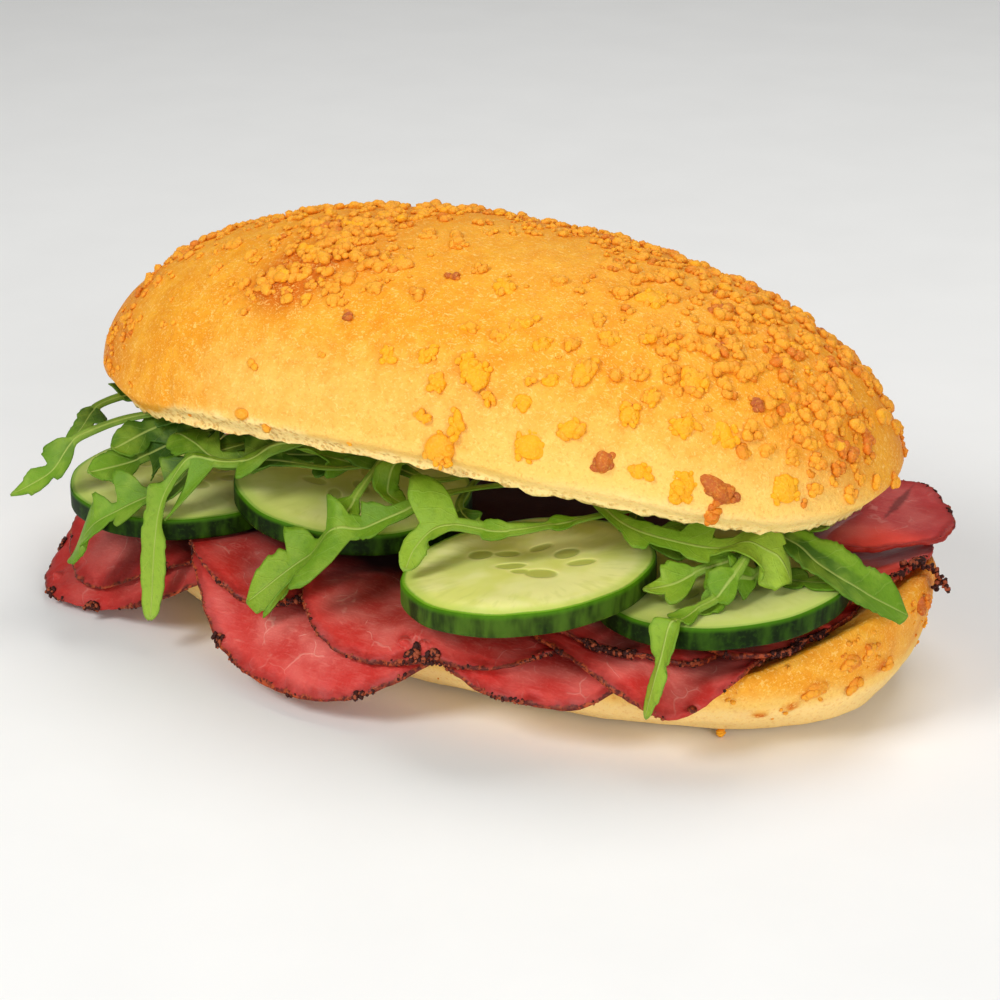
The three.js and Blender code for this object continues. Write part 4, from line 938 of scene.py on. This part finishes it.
def seed_edge(number, x, y):
    """Distance from the nearest seed's outline, in millimetres, less than zero inside it"""
    turn = 2.1 * (number - 4)
    x, y = x * math.cos(turn) - y * math.sin(turn), x * math.sin(turn) + y * math.cos(turn)
    nearest = 4.0
    for at_x, at_y, long, wide, slope in SEEDS:
        c, s = math.cos(math.radians(slope)), math.sin(math.radians(slope))
        dx, dy = x - at_x, y - at_y
        ring = math.hypot((dx * c + dy * s) / long, (dy * c - dx * s) / wide)
        nearest = min(nearest, (ring - 1) * (wide + (long - wide) * 0.4))
    return nearest


def make_disc(number, at_x, at_y, tilt_x, tilt_y, deep, material):
    name = "cucumber_%02d" % number
    base = min(p.z - (p.x - at_x) * tilt_x - (p.y - at_y) * tilt_y for p in shape_of(name)[1])
    bm = bmesh.new()
    profile = [(0, 0)] + [(r, 0) for r in np.linspace(3, DISC_RADIUS - 0.6, 8)]
    profile += [(DISC_RADIUS - 0.15, 0.12), (DISC_RADIUS, 0.5)]
    profile += [(DISC_RADIUS, z) for z in np.linspace(1.2, DISC_THICK - 0.5, 5)]
    profile += [(DISC_RADIUS - 0.12, DISC_THICK - 0.14), (DISC_RADIUS - 0.45, DISC_THICK)]
    profile += [(r, DISC_THICK) for r in np.linspace(DISC_RADIUS - 1, 0.5, 50)] + [(0, DISC_THICK)]
    verts = [bm.verts.new((r, 0, z)) for r, z in profile]
    edges = [bm.edges.new(pair) for pair in zip(verts, verts[1:])]
    bmesh.ops.spin(bm, geom=verts + edges, cent=(0, 0, 0), axis=(0, 0, 1), angle=CIRCLE, steps=200,
                   use_merge=True)
    bmesh.ops.remove_doubles(bm, verts=bm.verts, dist=1e-4)
    bmesh.ops.recalc_face_normals(bm, faces=bm.faces)
    cuts, seeds = [], []
    for v in bm.verts:
        x, y, z = v.co
        cuts.append((x, y, z))
        seeds.append(seed_edge(number, x, y))
        radius = math.hypot(x, y)
        lift = 0.0
        if z > DISC_THICK - 0.05:
            lift = 0.2 * uneven(x, y, number, 6) - 0.15 * smooth(0.4, -0.4, seeds[-1]) \
                + 0.12 * smooth(23, 20, radius)
        ribs = 0.1 * math.sin(11 * math.atan2(y, x) + number) * smooth(20, 23, radius)
        if radius > 1:
            x, y = x * (1 + ribs / radius), y * (1 + ribs / radius)
        v.co = (at_x + x, at_y + y, base + z + lift + x * tilt_x + y * tilt_y)
    mesh = mesh_of(bm, name)
    mark(mesh, cut=cuts, seed=seeds, deep=np.full(len(seeds), deep))
    add_piece(name.replace("cucumber", "cucumber_slice"), mesh, material, "cucumber", name)


# Rocket

LEAF_THICK = 0.32

# Span is the half length of a lobe; back is the side whose pale underside is turned up
Leaf = namedtuple("Leaf", "line stalk blade lobes tone span back", defaults=(3.2, 0))


# Centre line from stalk to tip, half widths of stalk and blade, each lobe's share of the length
# with its reach to the left and to the right, and how light the leaf is
LEAVES = [
    Leaf([(-12, 12, 35), (-24.6, -19.7, 37), (-36.4, -26.5, 37), (-48.1, -30.2, 37)],
         0.8, 3.4, [(0.6, 5, 3), (0.8, 4, 5)], 0.15),
    Leaf([(0, 10, 35), (8.4, -29.5, 36), (16.8, -32.8, 35), (27.9, -26.4, 36)],
         0.7, 1.2, [(0.7, 2, 2)], 0.1),
    Leaf([(30, 14, 35), (42.8, -23.2, 36), (50.1, -21.5, 35), (57.4, -19.9, 35)],
         0.8, 3, [(0.65, 4, 3), (0.82, 3, 4)], 0.2),
    Leaf([(52, 2, 31), (65.3, -15.2, 31), (71.5, -15.6, 29), (79.4, -14.4, 26)],
         0.8, 3.2, [(0.72, 2.4, 3)], 0.25),
    Leaf([(-44, -8, 37), (-54.3, -23.4, 37), (-61, -27.8, 34), (-64.7, -33, 32), (-70.4, -40.8, 31)],
         0.9, 2.7, [(0.42, 4, 5), (0.62, 6, 5.5), (0.84, 3.6, 3)], 0.35, 4),
    Leaf([(-40, -6, 38), (-53.6, -20.9, 38), (-63.6, -26, 36), (-69, -34.7, 34)],
         0.8, 3.2, [(0.66, 3.5, 4.4)], 0.3, 8),
    Leaf([(-56, 14, 36), (-77.5, -7.2, 37), (-78.9, -17.5, 38), (-81.3, -23.1, 37), (-78.8, -31.6, 36),
         (-78.2, -37.4, 34)], 0.8, 1.9, [(0.62, 2.4, 3.6), (0.82, 4.4, 2.2)], 0.3),
    Leaf([(-46, -14, 38), (-59.4, -23.1, 38), (-70.6, -28.2, 36), (-75.7, -34.7, 34), (-78.5, -41.4, 30),
         (-84, -48.4, 26)], 0.8, 1.8, [(0.34, 3, 2.6), (0.78, 3, 3.4), (0.88, 2.6, 2.2)], 0.3),
    Leaf([(-14, -14, 37), (-26.3, -20.7, 37), (-40.8, -27.3, 34), (-51, -36.5, 31), (-62.3, -44, 25),
         (-71.7, -46.8, 14)], 0.9, 3.4, [(0.6, 3.6, 5), (0.74, 4.2, 6), (0.84, 4, 3.6)], 0.4),
    Leaf([(-10, -18, 38), (-19.8, -28.8, 38), (-33.7, -30.4, 37.5), (-44.4, -33.9, 36), (-58.6, -27.3, 37)],
         0.9, 3.6, [(0.55, 3.4, 4.6), (0.76, 3.4, 6)], 0.4),
    Leaf([(8, -10, 38), (-0.1, -24.4, 38), (-9.3, -23.3, 38), (-20.9, -21.5, 36), (-29.6, -28.4, 32)],
         0.9, 3.6, [(0.62, 5.4, 4.4), (0.8, 4, 4.8)], 0.55),
    Leaf([(-12.2, -20, 33), (-12.2, -27.8, 33.4), (-12.4, -33.4, 34), (-11.4, -38.4, 33),
         (-8.7, -40.3, 30)], 0.8, 2.2, [(0.7, 2.8, 2.6)], 0.6),
    Leaf([(14, -14, 37), (3.2, -28.1, 37), (-1.7, -35.4, 35), (-10.4, -40.7, 30), (-19.1, -42.5, 24),
         (-27.4, -48.6, 16)], 1, 4.4, [(0.5, 3, 3.6), (0.64, 9.4, 4.6), (0.78, 8.6, 5.6)], 0.55),
    Leaf([(-14, -16, 37), (-23.1, -25.6, 37), (-38.4, -33.8, 33), (-48.7, -37, 25), (-52.3, -42.2, 17),
         (-50.3, -49.3, 7)], 1.2, 2.4, [(0.42, 3.8, 1.6), (0.6, 8, 1.6), (0.8, 1.7, 2.1)], 0.6),
    Leaf([(2, -12, 37), (-5.7, -20.7, 38), (-8.2, -24, 37), (-8.2, -28.4, 35), (-4.2, -29.1, 34)],
         0.8, 2.2, [(0.75, 2.8, 2.6)], 0.75),
    Leaf([(48, -8, 38), (37.6, -19.2, 38), (28.5, -29.3, 37), (20.2, -35.1, 36), (9.3, -38.2, 36),
         (6.1, -41.7, 32), (6.3, -45.7, 29)],
         1, 2.6, [(0.44, 1.6, 1.8), (0.64, 2, 2), (0.82, 2.4, 8)], 0.6),
    Leaf([(60, -6, 36), (62, -16, 35.6), (61.6, -22.5, 35), (56.6, -26.3, 33), (53.3, -29.6, 31),
         (48.7, -33.1, 30)], 0.9, 1.8, [(0.56, 4.4, 3.4), (0.8, 4, 3.4)], 0.6),
    Leaf([(66, -6, 37), (67.8, -18.9, 35.6), (65.6, -23, 32), (62.2, -29.2, 27), (59.7, -34.2, 22)],
         0.9, 1.9, [(0.6, 2.2, 2.4), (0.82, 2.4, 2)], 0.5),
    Leaf([(62, -12, 37), (64.1, -23.6, 36), (63.3, -28.7, 32), (59.3, -35.5, 26), (56.9, -41.2, 18),
         (55, -43.6, 10)], 0.9, 2.4, [(0.4, 2.4, 3), (0.62, 2.6, 2.8), (0.76, 2.8, 2.8)], 0.65),
    Leaf([(46, -2, 34), (58.5, -11.4, 35), (65.8, -7.7, 36.5), (73.3, -8.1, 38)],
         1, 2.4, [(0.7, 2.6, 2.6)], 0.45),
    Leaf([(50, 0, 37.6), (63.1, -13, 38), (70.4, -15, 36), (80.4, -14.4, 31), (89.9, -9.3, 25)],
         1.1, 3.5, [(0.6, 3.2, 3), (0.84, 3.9, 3.9)], 0.2, 26, 1),
    Leaf([(24, -6, 38.4), (33.9, -21.9, 39), (43.9, -26.1, 38), (53.9, -25, 37), (64.4, -20.8, 35),
         (71.3, -19.2, 31)], 1.1, 4, [(0.5, 2, 3.6), (0.68, 6.6, 3.4), (0.84, 4.4, 5)], 0.7),
]


def leaf_curve(points, shares):
    """Points at shares of the length along a smooth curve through the given points, and its length"""
    points = [Vector(p) for p in points]
    first, last = 2 * points[0] - points[1], 2 * points[-1] - points[-2]
    line = [first] + points + [last]
    track = []
    for i in range(1, len(line) - 2):
        a, b, c, d = line[i - 1:i + 3]
        knots = [max(1e-4, (q - p).length ** 0.5) for p, q in ((a, b), (b, c), (c, d))]
        before, here, after = knots
        one = ((b - a) / before - (c - a) / (before + here) + (c - b) / here) * here
        two = ((c - b) / here - (d - b) / (here + after) + (d - c) / after) * here
        bend, twist = 3 * (c - b) - 2 * one - two, one + two - 2 * (c - b)
        for step in range(100):
            t = step / 100
            track.append(b + one * t + bend * t * t + twist * t ** 3)
    track.append(points[-1])
    track = np.array([p[:] for p in track])
    length = np.concatenate([[0], np.cumsum(np.linalg.norm(np.diff(track, axis=0), axis=1))])
    far = np.asarray(shares) * length[-1]
    return np.stack([np.interp(far, length, track[:, k]) for k in range(3)], axis=1), length[-1]


def plain_reach(spec, share, waist, broad, end):
    """Half width of a leaf without its lobes: full at the waist, and broad again up to the end"""
    grow = smooth(0.25, waist, share)
    reach = spec.stalk + (max(spec.stalk, spec.blade * 0.45) - spec.stalk) * grow
    return max(reach, spec.blade * smooth(broad, end, share))


def leaf_reach(spec, share, side):
    """Half width of a leaf's solid at a share of its length"""
    end = math.sqrt(max(0.0, 1 - smooth(0.9, 1.0001, share)))
    reach = plain_reach(spec, share, 0.62, 0.84, 0.95)
    for lobe in spec.lobes:
        reach = max(reach, lobe[side] * max(0.0, 1 - (abs(share - lobe[0]) / 0.09) ** 2))
    return max(0.35, reach * max(0.12, end))


def leaf_rows(lobes):
    """Shares of length at which the leaf's solid has a row of three points"""
    rows = {0.0, 0.12, 0.24, 0.97, 1.0}
    if lobes[0][0] > 0.45:
        rows.add(0.36)
    for i, (share, _, _) in enumerate(lobes):
        last = 0.24 if i == 0 else lobes[i - 1][0]
        following = 1 if i == len(lobes) - 1 else lobes[i + 1][0]
        before, after = (share - last) * 0.45, (following - share) * 0.45
        rows |= {share, share - min(0.055, before), share + min(0.055, after)}
    rows = sorted(rows)
    return [share for i, share in enumerate(rows) if i == 0 or share - rows[i - 1] > 0.012]


def leaf_slopes(name, spec):
    """Rows of the leaf's solid: share, height of the midrib, rise per millimetre to the left and right"""
    points = shape_of(name)[1]
    places = np.array([p[:] for p in points])
    found = []
    shares = leaf_rows(spec.lobes)
    middle, _ = leaf_curve(spec.line, shares)
    ahead, _ = leaf_curve(spec.line, [min(1.0, share + 0.002) for share in shares])
    behind, _ = leaf_curve(spec.line, [max(0.0, share - 0.002) for share in shares])

    def height(x, y):
        away = np.hypot(places[:, 0] - x, places[:, 1] - y)
        return places[away < away.min() + 0.03, 2].mean(), places[away.argmin(), :2]

    for share, centre, way in zip(shares, middle, ahead - behind):
        way = way[:2] / max(1e-6, np.linalg.norm(way[:2]))
        top, _ = height(centre[0], centre[1])
        row = [share, top]
        on_lobe = any(abs(lobe[0] - share) < 1e-6 for lobe in spec.lobes)
        for sign, side in ((1, 1), (-1, 2)):
            reach = leaf_reach(spec, share, side)
            forward = 0.22 * reach if on_lobe else 0.0
            x = centre[0] - way[1] * reach * sign + way[0] * forward
            y = centre[1] + way[0] * reach * sign + way[1] * forward
            rim, spot = height(x, y)
            gap = max(0.6, math.hypot(spot[0] - centre[0], spot[1] - centre[1]))
            row.append(max(-1.6, min(1.6, (rim - top) / gap)) if reach > 1.2 else 0.0)
        found.append(row)
    return np.array(found)


def finger_reach(spec, share, side, length):
    """Half width of a leaf: narrow between its fingers, broad and rounded at the end"""
    end = math.sqrt(max(0.0, 1 - max(0.0, (share - 0.91) / 0.09) ** 2))
    reach = plain_reach(spec, share, 0.6, 0.74, 0.87)
    bump = 0.0
    for lobe in spec.lobes:
        rise = max(0.0, 1 - (abs(share - lobe[0]) * length / spec.span) ** 2) ** 0.6
        reach, bump = max(reach, lobe[side] * rise), max(bump, rise)
    return max(0.25, reach * max(0.05, end)), bump


def make_leaf(number, spec, material):
    name = "rocket_%02d" % number
    slopes = leaf_slopes(name, spec)
    rows, columns = 140, 18
    shares = np.linspace(0, 1, rows + 1)
    middle, length = leaf_curve(spec.line, shares)
    ways = np.gradient(middle[:, :2], axis=0)
    ways /= np.linalg.norm(ways, axis=1)[:, None]

    def along(column):
        return soften(np.interp(shares, slopes[:, 0], slopes[:, column]), 4)

    ribs, rises = along(1), {1: along(2), -1: along(3)}
    bm = bmesh.new()
    bmesh.ops.create_grid(bm, x_segments=columns, y_segments=rows, size=1)
    marks, tones = [], []
    for v in bm.verts:
        t, share = signed_power(v.co.x, 1.25), (v.co.y + 1) / 2
        i = min(rows, int(round(share * rows)))
        sign = 1 if t >= 0 else -1
        part = abs(t)
        reach, bump = finger_reach(spec, share, 1 if sign > 0 else 2, length)
        far = share * length
        wavy = 0.16 * uneven(far, sign * 7, number, 2.2) + 0.12 * uneven(far, sign * 7, number, 0.9)
        reach *= 1 + wavy * smooth(1.0, 2.4, reach)
        ahead = reach * bump * (0.3 * part + 0.35 * part * part) * smooth(7, 3.5, spec.span)
        x = middle[i, 0] - ways[i, 1] * reach * t + ways[i, 0] * ahead
        y = middle[i, 1] + ways[i, 0] * reach * t + ways[i, 1] * ahead
        z = ribs[i] + rises[sign][i] * reach * part
        z += 0.9 * part * part * min(1.0, reach / 6) * uneven(far, sign * 3, number, 5)
        z += 0.25 * smooth(1.5, 1.0, reach) * math.sqrt(max(0.0, 1 - t * t))
        z -= 0.1 * math.exp(-((t * reach) / 0.35) ** 2)
        v.co = (x, y, z)
        marks.append((t * reach, far, reach))
        # Tone: the leaf's own lightness, with painted light towards the tips, which stand out of the shade,
        # painted shade on leaves under the front of the top half, and the pale underside on the back side
        tones.append(spec.tone - 0.1 + 0.3 * smooth(0.55, 1, share)
                     - 0.3 * smooth(-42, -28, y) * smooth(10, -10, x)
                     + 0.5 * smooth(0.4, 0.55, t * spec.back) * smooth(0.9, 0.7, share))
    bm.normal_update()
    if sum(face.normal.z for face in bm.faces) < 0:
        bmesh.ops.reverse_faces(bm, faces=bm.faces)
    mesh = mesh_of(bm, name)
    mark(mesh, leaf=marks, tone=tones)
    piece = add_piece(name.replace("rocket", "rocket_leaf"), mesh, material, "rocket", name)
    wall = piece.modifiers.new("thickness", "SOLIDIFY")
    wall.thickness, wall.offset = LEAF_THICK * MM, 0


# Sandwich

crust, cheese, beef = golden_crust(), baked_cheese(), cured_beef()
make_heel_cheese(make_bottom(crust), cheese)
rims = [make_slice(number, spec, beef) for number, spec in enumerate(SLICES, 1)]
make_pepper(rims, cracked_pepper())
green_slice, green_leaf = sliced_cucumber(), rocket_leaf()
for number, spec in enumerate(DISCS, 1):
    make_disc(number, *spec, green_slice)
for number, spec in enumerate(LEAVES, 1):
    make_leaf(number, spec, green_leaf)
lid_skin = make_top(crust)
make_lid_lumps(cheese)
make_lid_crumbs(lid_skin, cheese)


# Camera, light and floor

def make_camera():
    turn, lift, far = math.radians(30), math.radians(22), 0.52
    data = bpy.data.cameras.new("camera")
    data.lens, data.sensor_width, data.shift_y = 95.04, 36, -0.045
    data.clip_start, data.clip_end = 0.01, 20
    camera = new_object("camera", data)
    aim = Vector((0, 0, 0.035))
    back = Vector((math.sin(turn) * math.cos(lift), -math.cos(turn) * math.cos(lift), math.sin(lift)))
    camera.location = aim + back * far
    camera.rotation_euler = back.to_track_quat("Z", "Y").to_euler()
    bpy.context.scene.camera = camera


def make_lamp(name, place, aim, size, power):
    data = bpy.data.lights.new(name, "AREA")
    data.shape, data.size, data.energy = "DISK", size, power
    lamp = new_object(name, data)
    lamp.location = place
    lamp.rotation_euler = (Vector(place) - Vector(aim)).to_track_quat("Z", "Y").to_euler()


def make_floor():
    f = Finish("pale floor")
    cloudy = f.grain(f.place(), 30, 3)
    material = f.close(f.mix(cloudy, srgb(236, 236, 234), srgb(242, 242, 240)), 0.7)
    bm = bmesh.new()
    bmesh.ops.create_grid(bm, x_segments=2, y_segments=2, size=3)
    mesh = mesh_of(bm, "floor")
    mesh.materials.append(material)
    floor = new_object("floor", mesh)


make_camera()
make_floor()
make_lamp("key", (-0.35, -0.75, 0.75), (0, 0, 0.04), 0.42, 6.3)
make_lamp("fill", (0.75, -0.5, 0.35), (0, 0, 0.04), 0.5, 3.2)
make_lamp("top", (0.1, 0.35, 0.9), (0, 0, 0.04), 0.6, 4.2)
make_lamp("low", (0.3, -0.9, 0.12), (0.02, 0, 0.03), 0.5, 1.9)
world = bpy.data.worlds.new("studio")
world.use_nodes = True
sky = world.node_tree.nodes["Background"]
sky.inputs[0].default_value = (1, 1, 1, 1)
sky.inputs[1].default_value = 0.22
bpy.context.scene.world = world
bpy.context.scene.view_settings.view_transform = "Standard"
